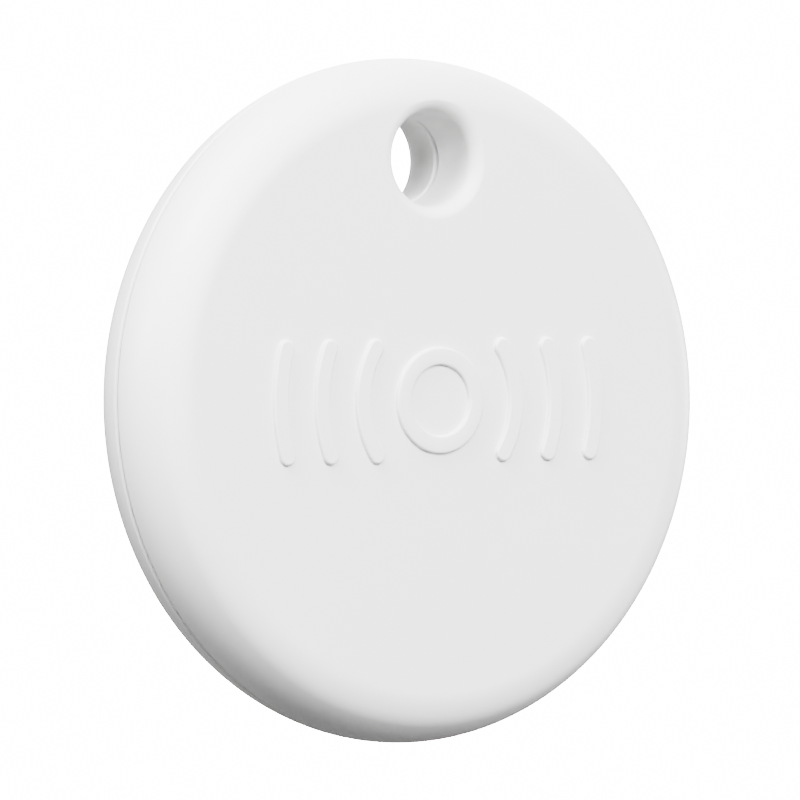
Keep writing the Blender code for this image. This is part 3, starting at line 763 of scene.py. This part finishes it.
def carrier(plastic):
    """Tray behind the board: floor, outer wall, cell wall and sockets for the rear pegs."""
    front, rear = span("inner_frame")
    outer = CAVITY_RADIUS - 0.15
    wall, floor, edge, fillet = 0.9, 0.35, 0.14, 0.3
    inner = outer - wall
    profile = [(0, front)] + arc(outer - edge, front + edge, edge, -90, 0, 3)
    profile += arc(outer - edge, rear - edge, edge, 0, 90, 3) + arc(inner + edge, rear - edge, edge, 90, 180, 3)
    profile += arc(inner - fillet, floor + fillet, fillet, 0, -90, 4) + [(0, floor)]
    obj = as_object("carrier", turned(profile, 180), DISC)
    wall_outer, wall_rear = CELL_RADIUS + 1.1, 2.2
    cell_wall = [(0, front + 0.2)] + arc(wall_outer + fillet, floor + fillet, fillet, 270, 180, 4)
    cell_wall += arc(wall_outer - edge, wall_rear - edge, edge, 0, 90, 3) + [(0, wall_rear)]
    bay = [(0, -2), (CELL_RADIUS + 0.32, -2)] + arc(CELL_RADIUS + 0.52, wall_rear - 0.15, 0.2, 180, 120, 3)
    bay += [(CELL_RADIUS + 0.5, 4), (0, 4)]
    contact_gap = rounded_block(3.0, 4.8, -2, 4, -CELL_RADIUS - 1.45, 0, 0.3)
    tools = [(as_object("tool_cell_wall", turned(cell_wall, 160, 0.5), CELL), "UNION")]
    for x, z in PEG_PLACES:
        socket = [(0, 0.1)] + arc(1.45 + fillet, floor + fillet, fillet, 270, 180, 3)
        socket += arc(1.45 - edge, 1.7 - edge, edge, 0, 90, 3) + [(0, 1.7)]
        tools.append((as_object("tool_socket", turned(socket, 48, 0.5), DISC + Vector((x, 0, z))), "UNION"))
    tools += [
        (as_object("tool_bay", turned(bay, 160), CELL), "DIFFERENCE"),
        (as_object("tool_boss_gap", plain_disc(BOSS_RADIUS + 0.55, -2, 4), HOLE), "DIFFERENCE"),
        (as_object("tool_contact_gap", contact_gap, CELL), "DIFFERENCE"),
    ]
    for x, z in PEG_PLACES:
        hole = turned([(0, -2), (0.9, -2), (0.9, 1.5), (1.1, 1.72), (1.1, 4), (0, 4)], 40)
        tools.append((as_object("tool_peg_hole", hole, DISC + Vector((x, 0, z))), "DIFFERENCE"))
    combine(obj, tools)
    round_edges(obj, 0.05, 50)
    finish_piece(smooth(obj), "chassis", "carrier_plastic", plastic, "inner_frame")


def route(start, end):
    """Corner points of a track on the board: straight, then at 45 degrees, then straight."""
    run = Vector((end[0] - start[0], end[1] - start[1]))
    slant = min(abs(run.x), abs(run.y))
    long_way = Vector((run.x, 0)) if abs(run.x) > abs(run.y) else Vector((0, run.y))
    first = Vector(start) + long_way * 0.5 * (1 - slant / max(long_way.length, 0.01))
    second = first + Vector((math.copysign(slant, run.x), math.copysign(slant, run.y)))
    return [tuple(start), tuple(first), tuple(second), tuple(end)]


def board(mask, copper, gold):
    """The round board, its tracks under the solder mask and its gold pads."""
    front, rear = span("circuit_board")
    obj = as_object("board", rounded_disc(size("circuit_board").x / 2 / MM, front, rear, 0.06, 180), DISC)
    tools = [(as_object("tool_gap", plain_disc(BOSS_RADIUS + 0.55, -3, 1), HOLE), "DIFFERENCE")]
    for x, z in ((-14.2, 2.6), (14.6, -1.2), (-8.5, -13.2)):
        pin_hole = turned([(0, -3), (0.6, -3), (0.6, 1), (0, 1)], 36)
        tools.append((as_object("tool_hole", pin_hole, DISC + Vector((x, 0, z))), "DIFFERENCE"))
    combine(obj, tools)
    finish_piece(smooth(obj), "chassis", "board_laminate", mask, "circuit_board")

    def where(node):
        centre = middle(node) / MM
        return (centre.x, centre.z)

    chip = where("radio_chip")
    links = [("crystal", (1.2, -1.9)), ("inductor", (-2.2, 1.4)), ("capacitor_3", (2.2, 0.8)),
             ("capacitor_4", (0.2, -2.3)), ("capacitor_1", (-2.2, 0.6)), ("resistor_1", (-2.2, -0.4)),
             ("switch_base", (-2.3, -1.2)), ("sounder_spring_plate", (-0.9, -2.3))]
    shapes, vias = [], []
    for node, (dx, dz) in links:
        path = route((chip[0] + dx, chip[1] + dz), where(node))
        shapes.append(extruded(ribbon(path, 0.22), front - 0.02, front + 0.02))
        vias.append(path[1])
    for node, following in (("capacitor_1", "capacitor_2"), ("resistor_1", "resistor_2"),
                            ("resistor_2", "resistor_3"), ("switch_base", "sounder_spring_ceramic")):
        path = route(where(node), where(following))
        shapes.append(extruded(ribbon(path, 0.3), front - 0.02, front + 0.02))
    tracks = as_object("board_tracks", together(shapes))
    finish_piece(smooth(tracks), "chassis", "board_laminate", copper)

    pads = []
    for i in range(6):
        pads.append(placed(rounded_disc(0.5, front - 0.025, front + 0.02, 0.01, 32), -12.8, DISC.z - 2.2 - 1.5 * i))
    for near, far in ((front - 0.025, front + 0.02), (rear - 0.02, rear + 0.025)):
        pads.append(placed(arc_strip(BOSS_RADIUS + 0.8, BOSS_RADIUS + 1.4, 200, 340, near, far, 60), 0, HOLE.z))
    for via in vias:
        pads.append(placed(rounded_disc(0.24, front - 0.024, front + 0.02, 0.01, 24), *via))
    for node in ("contact_negative", "contact_positive"):
        low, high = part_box(node)
        middle_x = low.x / MM + 1.3
        pads.append(rounded_block(2.4, 3.8, rear - 0.02, rear + 0.025, middle_x, CELL.z, 0.01))
    for node in ("sounder_spring_plate", "sounder_spring_ceramic"):
        low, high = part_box(node)
        pads.append(rounded_block(1.3, 1.3, front - 0.025, front + 0.02, low.x / MM + 0.4, middle(node).z / MM, 0.01))
    gold_pads = as_object("board_pads", together(pads))
    finish_piece(smooth(gold_pads), "chassis", "spring_bronze", gold)


def arc_strip(inner, outer, start, end, near, far, count):
    """Part of a flat ring between two angles, in degrees from +X towards +Z."""
    angles = [math.radians(start + (end - start) * i / count) for i in range(count + 1)]
    outline = [(outer * math.cos(a), outer * math.sin(a)) for a in angles]
    outline += [(inner * math.cos(a), inner * math.sin(a)) for a in reversed(angles)]
    return extruded(outline, near, far)


def placed(bm, x, z):
    bmesh.ops.translate(bm, vec=(x, 0, z), verts=bm.verts)
    return bm


# ---- coin cell ----
def cell_can(steel):
    """Drawn can, crimped over the gasket at the front, with a plus pressed into its rear."""
    front, rear = span("battery_can")
    crimp, thick = 0.4, 0.25
    outer_crimp = arc(CELL_RADIUS - crimp, front + crimp, crimp, -115, 0, 8)
    inner_crimp = arc(CELL_RADIUS - crimp, front + crimp, crimp - thick, 0, -115, 6)
    profile = outer_crimp + arc(CELL_RADIUS - 0.5, rear - 0.5, 0.5, 0, 90, 8)
    profile += [(8.35, rear), (8.25, rear - 0.02), (8.15, rear - 0.05), (7.95, rear - 0.05), (7.85, rear - 0.02)]
    profile += [(7.75, rear), (0, rear), (0, rear - thick), (CELL_RADIUS - 0.5, rear - thick)]
    profile += arc(CELL_RADIUS - 0.5, rear - 0.5, 0.25, 60, 0, 3) + inner_crimp
    obj = as_object("cell_can", turned(profile, 200), CELL)
    plus = []
    for across, along in ((0.5, 2.6), (2.6, 0.5)):
        bar = rounded_block(across, along, rear - 0.06, rear + 0.5, 0, 5.2, 0.05)
        plus.append((as_object("tool_plus", bar, CELL), "DIFFERENCE"))
    combine(obj, plus)
    finish_piece(smooth(obj), "battery", "can_steel", steel, "battery_can")


def cell_lid(steel):
    front, rear = span("battery_lid")
    outer, thick, edge = CELL_RADIUS - 0.85, 0.25, 0.45
    profile = [(0, front), (outer - 1.6, front), (outer - 1.5, front + 0.03), (outer - 1.35, front + 0.03)]
    profile += [(outer - 1.25, front)] + arc(outer - edge, front + edge, edge, -90, 0, 8)
    profile += [(outer, rear), (outer - thick, rear)]
    profile += arc(outer - edge, front + edge, edge - thick, 0, -90, 5) + [(0, front + thick)]
    obj = as_object("cell_lid", turned(profile, 200), CELL)
    finish_piece(smooth(obj), "battery", "lid_steel", steel, "battery_lid")


def cell_gasket(plastic):
    front, rear = span("battery_gasket")
    section = rounded_section(CELL_RADIUS - 0.8, CELL_RADIUS - 0.3, front + 0.12, rear, 0.08)
    obj = as_object("cell_gasket", turned(section, 160), CELL)
    finish_piece(smooth(obj), "battery", "gasket_plastic", plastic, "battery_gasket")


def cell_pellet(powder):
    front, rear = span("battery_pellet")
    obj = as_object("cell_pellet", rounded_disc(size("battery_pellet").x / 2 / MM, front, rear, 0.2, 128), CELL)
    finish_piece(smooth(obj, 50), "battery", "cell_pellet", powder, "battery_pellet")


def foam_pad(foam):
    """Thin die-cut foam on the rear shell, crowned, with a softly pulled-in edge."""
    front, rear = span("battery_foam")
    radius, half = size("battery_foam").x / 2 / MM, (rear - front) / 2
    centre = (front + rear) / 2
    profile = [(0, front)]
    for i in range(13):
        angle = math.radians(90 - 15 * i)
        bulge = math.copysign(abs(math.sin(angle)) ** 0.7, math.sin(angle)) * half
        profile.append((radius - 0.25 + 0.25 * math.cos(angle), centre - bulge))
    profile.append((0, rear))
    obj = as_object("foam_pad", turned(profile, 144), CELL)
    finish_piece(smooth(obj, 60), "rear", "foam", foam, "battery_foam")


# ---- sprung contacts ----
def leaf(name, node, path, thickness, slits, place, metal):
    """A bent strip whose end is slit into fingers; the slits are its (low, high) widths along Z."""
    outline = ribbon(eased(path), thickness)
    fingers = [extruded(outline, low, high, "z") for low, high in slits]
    obj = as_object(name, together(fingers), place)
    round_edges(obj, thickness * 0.2, 50)
    finish_piece(smooth(obj), "chassis", "spring_bronze", metal, node)


def contacts(metal):
    board_rear = span("circuit_board")[1]
    foot = board_rear + 0.11
    side = -CELL_RADIUS - 0.2
    path = [(side - 2.2, foot), (side - 0.5, foot), (side - 0.15, foot + 0.12), (side, foot + 0.5)]
    path += [(side + 0.06, 0.6), (side, 1.3), (side - 0.18, 1.9)]
    leaf("positive_contact", "contact_positive", path, 0.12, ((-1.8, -0.1), (0.1, 1.8)), CELL, metal)
    path = [(-6.5, foot), (-3.0, foot), (-1.2, foot + 0.11), (0, foot + 0.13), (1.2, foot + 0.11), (2.6, foot + 0.02)]
    leaf("negative_contact", "contact_negative", path, 0.1, ((-1.6, -0.2), (0.2, 1.6)), CELL, metal)


def sounder_springs(metal):
    for name, node in (("plate_spring", "sounder_spring_plate"), ("ceramic_spring", "sounder_spring_ceramic")):
        low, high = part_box(node)
        start, foot, tip = low.x / MM, high.y / MM - 0.05, low.y / MM + 0.05
        path = [(start, foot), (start + 0.8, foot), (start + 1.1, foot - 0.04), (start + 2.0, tip + 0.05)]
        path += [(start + 2.3, tip), (start + 2.6, tip + 0.08)]
        leaf(name, node, path, 0.1, ((-0.5, 0.5),), Vector((0, 0, middle(node).z / MM)), metal)


# ---- sounder and press switch ----
def sounder(film, brass, ceramic, silver):
    place = middle("sounder_plate") / MM
    radius = size("sounder_plate").x / 2 / MM
    front, rear = span("sounder_adhesive")
    ring = turned(rounded_section(radius - 1.4, radius - 0.1, front, rear, 0.03), 128)
    finish_piece(smooth(as_object("adhesive_ring", ring, place)), "front", "adhesive", film, "sounder_adhesive")
    layers = (("brass_disc", "sounder_plate", 0.04, "sounder_brass", brass),
              ("ceramic_disc", "sounder_ceramic", 0.03, "sounder_ceramic", ceramic),
              ("silver_layer", "sounder_electrode", 0.02, "silvering", silver))
    for name, node, edge, slot, material in layers:
        front, rear = span(node)
        obj = as_object(name, rounded_disc(size(node).x / 2 / MM, front, rear, edge, 128), place)
        finish_piece(smooth(obj), "front", slot, material, node)


def press_switch(plastic, moulding, metal, plunger_plastic, solder):
    """Post in the front shell, and the dome switch on the board that it pushes."""
    place = middle("switch_base") / MM
    front, rear = span("press_post")
    radius = size("press_post").x / 2 / MM
    profile = [(0, front), (radius, front), (radius, front + 0.12), (radius - 0.25, front + 0.2)]
    profile += arc(radius - 0.35, rear - 0.1, 0.1, 0, 90, 4) + [(0, rear)]
    post = as_object("post", turned(profile, 64), place)
    finish_piece(smooth(post), "front", "white_plastic", plastic, "press_post")
    front, rear = span("switch_plunger")
    radius = size("switch_plunger").x / 2 / MM
    profile = [(0, front)] + arc(radius - 0.2, front + 0.1, 0.1, -90, -10, 5)
    profile += [(radius - 0.06, front + 0.22), (radius, rear - 0.12), (radius, rear), (0, rear)]
    button = as_object("button", turned(profile, 64), place)
    finish_piece(smooth(button), "plunger", "plunger_plastic", plunger_plastic, "switch_plunger")
    width = size("switch_base").x / MM
    front, rear = span("switch_base")
    base = as_object("switch_body", rounded_block(width, width, front, rear, 0, 0, 0.05), place)
    finish_piece(smooth(base), "chassis", "chip_moulding", moulding, "switch_base")
    front, rear = span("switch_lid")
    lid = as_object("switch_cap", rounded_block(width, width, front, rear, 0, 0, 0.12), place)
    hole = turned([(0, -4), (1.05, -4), (1.05, front), (0.9, front + 0.1), (0.9, 1), (0, 1)], 64, 0.5)
    combine(lid, [(as_object("tool_hole", hole, place), "DIFFERENCE")])
    finish_piece(smooth(lid), "chassis", "plated_steel", metal, "switch_lid")
    feet = []
    board_front = span("circuit_board")[0]
    for x in (-1, 1):
        for z in (-1, 1):
            feet.append(rounded_block(0.7, 0.5, board_front - 0.2, board_front, x * (width / 2 + 0.25), z * 1.2, 0.06))
    legs = as_object("switch_legs", together(feet), place)
    finish_piece(smooth(legs), "chassis", "plated_steel", solder)


# ---- small parts on the board ----
def chip_part(node, body_slot, body_material, tin):
    """A two-ended chip: its body, its tinned end caps and their solder."""
    centre, extent = middle(node) / MM, size(node) / MM
    front, rear = span(node)
    along = Vector((1, 0, 0)) if extent.x > extent.z else Vector((0, 0, 1))
    across = Vector((1, 0, 1)) - along
    length, width = extent.dot(along), extent.dot(across)
    cap = 0.19 * length
    body_size = along * (length - 0.06) + across * (width - 0.05)
    body = rounded_block(body_size.x, body_size.z, front + 0.025, rear, centre.x, centre.z, 0.04)
    obj = as_object(node + "_body", body)
    finish_piece(smooth(obj), "chassis", body_slot, body_material, node)
    board_front = span("circuit_board")[0]
    ends = []
    for side in (-1, 1):
        spot = centre + along * side * (length - cap) / 2
        cap_size = along * cap + across * width
        ends.append(rounded_block(cap_size.x, cap_size.z, front, rear, spot.x, spot.z, 0.05))
        foot = centre + along * side * (length / 2)
        foot_size = along * 0.5 + across * (width * 0.92)
        ends.append(rounded_block(foot_size.x, foot_size.z, board_front - 0.16, board_front, foot.x, foot.z, 0.07))
    caps = as_object(node + "_ends", together(ends))
    finish_piece(smooth(caps), "chassis", "plated_steel", tin)


def radio_chip(moulding, tin):
    centre, width = middle("radio_chip") / MM, size("radio_chip").x / MM
    front, rear = span("radio_chip")
    obj = as_object("radio_body", rounded_block(width, width, front, rear - 0.1, 0, 0, 0.07), centre)
    mark = turned([(0, front - 1), (0.28, front - 1), (0.28, front + 0.02), (0.2, front + 0.06), (0, 0)], 40)
    corner = centre + Vector((-width / 2 + 0.7, 0, width / 2 - 0.7))
    combine(obj, [(as_object("tool_mark", mark, corner), "DIFFERENCE")])
    finish_piece(smooth(obj), "chassis", "chip_moulding", moulding, "radio_chip")
    leads = []
    per_side, pitch = 10, 0.45
    for i in range(per_side):
        step = (i - (per_side - 1) / 2) * pitch
        for side in (-1, 1):
            leads.append(rounded_block(0.24, 0.4, rear - 0.17, rear, step, side * (width / 2 - 0.12), 0.03))
            leads.append(rounded_block(0.4, 0.24, rear - 0.17, rear, side * (width / 2 - 0.12), step, 0.03))
    obj = as_object("radio_leads", together(leads), centre)
    finish_piece(smooth(obj), "chassis", "plated_steel", tin)


def crystal(metal, ceramic):
    """Seam-welded metal lid on a ceramic tub."""
    centre, extent = middle("crystal") / MM, size("crystal") / MM
    front, rear = span("crystal")
    lid = as_object("crystal_lid", rounded_block(extent.x - 0.3, extent.z - 0.3, front, front + 0.2, 0, 0, 0.06), centre)
    finish_piece(smooth(lid), "chassis", "plated_steel", metal, "crystal")
    tub = as_object("crystal_tub", rounded_block(extent.x, extent.z, front + 0.14, rear, 0, 0, 0.05), centre)
    finish_piece(smooth(tub), "chassis", "ferrite", ceramic)


def antenna(metal):
    """Pressed arc along the board's edge on three feet."""
    front = span("antenna")[0]
    board_front = span("circuit_board")[0]

    shapes = [arc_strip(15.0, 16.1, -62, 18, front, front + 0.16, 80)]
    obj = as_object("antenna_strip", together(shapes), DISC)
    tools = []
    for angle in (-59, -15, 15):
        foot = arc_strip(15.3, 15.8, angle - 2, angle + 2, front + 0.07, board_front, 4)
        tools.append((as_object("tool_foot", foot, DISC), "UNION"))
    for angle in (-45, -30, 0):
        spot = DISC + Vector((15.55 * math.cos(math.radians(angle)), 0, 15.55 * math.sin(math.radians(angle))))
        hole = turned([(0, -4), (0.25, -4), (0.25, 1), (0, 1)], 32)
        tools.append((as_object("tool_hole", hole, spot), "DIFFERENCE"))
    combine(obj, tools)
    round_edges(obj, 0.03, 50)
    finish_piece(smooth(obj), "chassis", "plated_steel", metal, "antenna")


# ---- floor, light and camera ----
SEEN_WHITE = 12.2
WORLD_LIGHT = 0.02


def camera_only(tree, seen, unseen, output):
    """Mix two shaders: one that the camera sees, one that lights the object."""
    path = tree.nodes.new("ShaderNodeLightPath")
    mix = tree.nodes.new("ShaderNodeMixShader")
    tree.links.new(path.outputs["Is Camera Ray"], mix.inputs["Fac"])
    tree.links.new(unseen.outputs[0], mix.inputs[1])
    tree.links.new(seen.outputs[0], mix.inputs[2])
    tree.links.new(mix.outputs[0], output.inputs["Surface"])


def pale_floor():
    bm = bmesh.new()
    bmesh.ops.create_circle(bm, cap_ends=True, segments=96, radius=3.0)
    mesh = bpy.data.meshes.new("floor")
    bm.to_mesh(mesh)
    bm.free()
    floor = bpy.data.objects.new("floor", mesh)
    floor.location = (0, 0, cad_low.z - 0.04)
    bpy.context.collection.objects.link(floor)
    mat, tree, shader = new_material("floor_paint", (0.095, 0.095, 0.095), 0.9)
    seen = tree.nodes.new("ShaderNodeEmission")
    seen.inputs["Strength"].default_value = SEEN_WHITE
    camera_only(tree, seen, shader, tree.nodes["Material Output"])
    mesh.materials.append(mat)


def studio_world():
    world = bpy.data.worlds.new("studio")
    bpy.context.scene.world = world
    world.use_nodes = True
    tree = world.node_tree
    dim = tree.nodes["Background"]
    dim.inputs["Color"].default_value = (1, 1, 1, 1)
    dim.inputs["Strength"].default_value = WORLD_LIGHT
    seen = tree.nodes.new("ShaderNodeBackground")
    seen.inputs["Color"].default_value = (1, 1, 1, 1)
    seen.inputs["Strength"].default_value = SEEN_WHITE
    camera_only(tree, seen, dim, tree.nodes["World Output"])


LIGHT_DISTANCE = 0.65
LIGHTS = (
    # name, azimuth, elevation, width, power: azimuth 0 is in front of the tag, 90 to its right
    ("left", -100, 20, 0.2, 1.38),
    ("key_upper_left", -30, 35, 0.2, 1.97),
    ("side_upper_left", -75, 50, 0.2, 2.65),
    ("top_left", -80, 70, 0.5, 2.4),
    ("front_fill", 0, 20, 0.2, 2.63),
    ("front_upper_right", 15, 35, 0.2, 1.11),
    ("right_rim", 90, 0, 0.2, 1.39),
    ("rear_top", 180, 60, 0.5, 0.5),
    ("rear_right", 140, 30, 0.5, 1.8),
)


def studio_lights():
    for name, azimuth, elevation, width, power in LIGHTS:
        a, e = math.radians(azimuth), math.radians(elevation)
        out = Vector((math.sin(a) * math.cos(e), -math.cos(a) * math.cos(e), math.sin(e)))
        data = bpy.data.lights.new(name, "AREA")
        data.shape = "DISK"
        data.size = width
        data.energy = power
        light = bpy.data.objects.new(name, data)
        light.location = DISC * MM + out * LIGHT_DISTANCE
        light.rotation_mode = "QUATERNION"
        light.rotation_quaternion = (-out).to_track_quat("-Z", "Y")
        light.visible_camera = False
        bpy.context.collection.objects.link(light)


def view_camera():
    """Level with the tag, to the left of its front."""
    azimuth, elevation, roll = math.radians(-35.54), math.radians(0.42), math.radians(-0.65)
    distance, shift_right, shift_up = 0.4921, 0.103 * MM, -0.029 * MM
    view_width = 45.3 * MM
    back = Vector((math.sin(azimuth) * math.cos(elevation), -math.cos(azimuth) * math.cos(elevation),
                   math.sin(elevation)))
    turn = (-back).to_track_quat("-Z", "Y").to_matrix()
    turn = Matrix.Rotation(roll, 3, back) @ turn
    data = bpy.data.cameras.new("camera")
    data.sensor_width = 36
    data.lens = data.sensor_width * distance / view_width
    data.clip_start, data.clip_end = 0.01, 20
    camera = bpy.data.objects.new("camera", data)
    camera.matrix_world = turn.to_4x4()
    camera.location = (Vector((DISC.x, 0, DISC.z)) * MM + back * distance
                       - turn.col[0] * shift_right - turn.col[1] * shift_up)
    bpy.context.collection.objects.link(camera)
    bpy.context.scene.camera = camera


def build_pieces():
    grey = (0.25, 0.26, 0.27)
    centre = CELL * MM
    sounder_centre = middle("sounder_plate")
    white = satin_white()
    rubber = moulded("seal_rubber", grey, (0.29, 0.295, 0.3), (0.68, 0.82), 0.07, 2.0, 3.0)
    # the carrier's rim is painted a lighter highlight colour, and made a little glossier
    black = moulded("carrier_plastic", (0.045, 0.045, 0.05), (0.047, 0.047, 0.052), (0.52, 0.55), 0.12, 3.0,
                    9.0, (CAVITY_RADIUS - 0.15, 0.25, (0.055, 0.055, 0.059)))
    insulator = moulded("gasket_plastic", (0.09, 0.09, 0.1), (0.12, 0.12, 0.13), (0.5, 0.62), 0.08, 1.5)
    plunger_red = moulded("plunger_plastic", (0.58, 0.11, 0.09), (0.64, 0.14, 0.12), (0.42, 0.55), 0.06, 1.0)
    # each metal's rim is painted a brighter highlight at the radius given
    can = drawn_metal("can_steel", (0.66, 0.66, 0.645), (0.58, 0.575, 0.56), (0.2, 0.38), centre, CELL_RADIUS, 0.12,
                      1.2)
    lid = drawn_metal("lid_steel", (0.6, 0.6, 0.585), (0.52, 0.515, 0.5), (0.3, 0.48), centre,
                      CELL_RADIUS - 0.85, 0.15, 9.0, 0.28)
    brass = drawn_metal("sounder_brass", (0.78, 0.58, 0.27), (0.7, 0.48, 0.2), (0.25, 0.42), sounder_centre,
                        7.5, 0.2, 1.5)
    silver = drawn_metal("silvering", (0.84, 0.84, 0.81), (0.76, 0.75, 0.7), (0.35, 0.55), sounder_centre,
                         4.9, 0.05, 2.0)
    gold = sheet_metal("spring_bronze", (0.86, 0.68, 0.36), (0.8, 0.6, 0.28), (0.2, 0.38), (0.04, 0.04, 1), 0.06,
                       0.8)
    tin = sheet_metal("plated_steel", (0.74, 0.74, 0.74), (0.66, 0.66, 0.65), (0.24, 0.45), (0.1, 1, 1), 0.05,
                      1.0)
    chip = fired("chip_moulding", (0.03, 0.03, 0.034), (0.07, 0.07, 0.072), (0.5, 0.66), 0.03, 0.42, 2.5)
    ferrite = fired("ferrite", (0.13, 0.13, 0.135), (0.2, 0.2, 0.2), (0.55, 0.75), 0.05, 0.4, 3.0)
    brown = fired("capacitor_ceramic", (0.5, 0.36, 0.22), (0.58, 0.45, 0.3), (0.4, 0.55), 0.05, 0.4, 1.5)
    cream = fired("sounder_ceramic", (0.74, 0.7, 0.6), (0.64, 0.6, 0.5), (0.45, 0.6), 0.06, 0.38, 1.5)
    powder = fired("cell_pellet", (0.06, 0.06, 0.062), (0.12, 0.12, 0.12), (0.8, 0.95), 0.09, 0.45, 12.0)
    mask = solder_mask()
    track = moulded("masked_track", (0.02, 0.19, 0.1), (0.024, 0.21, 0.115), (0.28, 0.38), 0.15, 1.0)

    front_shell(white)
    rear_shell(white)
    rim_gasket(rubber)
    hole_gasket(rubber)
    carrier(black)
    board(mask, track, gold)
    cell_can(can)
    cell_lid(lid)
    cell_gasket(insulator)
    cell_pellet(powder)
    foam_pad(soft_foam())
    contacts(gold)
    sounder_springs(gold)
    sounder(bond_film(), brass, cream, silver)
    press_switch(white, chip, tin, plunger_red, tin)
    radio_chip(chip, tin)
    crystal(tin, ferrite)
    antenna(tin)
    chip_part("inductor", "ferrite", ferrite, tin)
    for number in range(1, 5):
        chip_part(f"capacitor_{number}", "capacitor_ceramic", brown, tin)
    for number in range(1, 4):
        chip_part(f"resistor_{number}", "chip_moulding", chip, tin)


view_camera()
studio_world()
studio_lights()
pale_floor()
bpy.context.scene.view_settings.view_transform = "Filmic"
bpy.context.scene.view_settings.look = "Very High Contrast"
build_pieces()
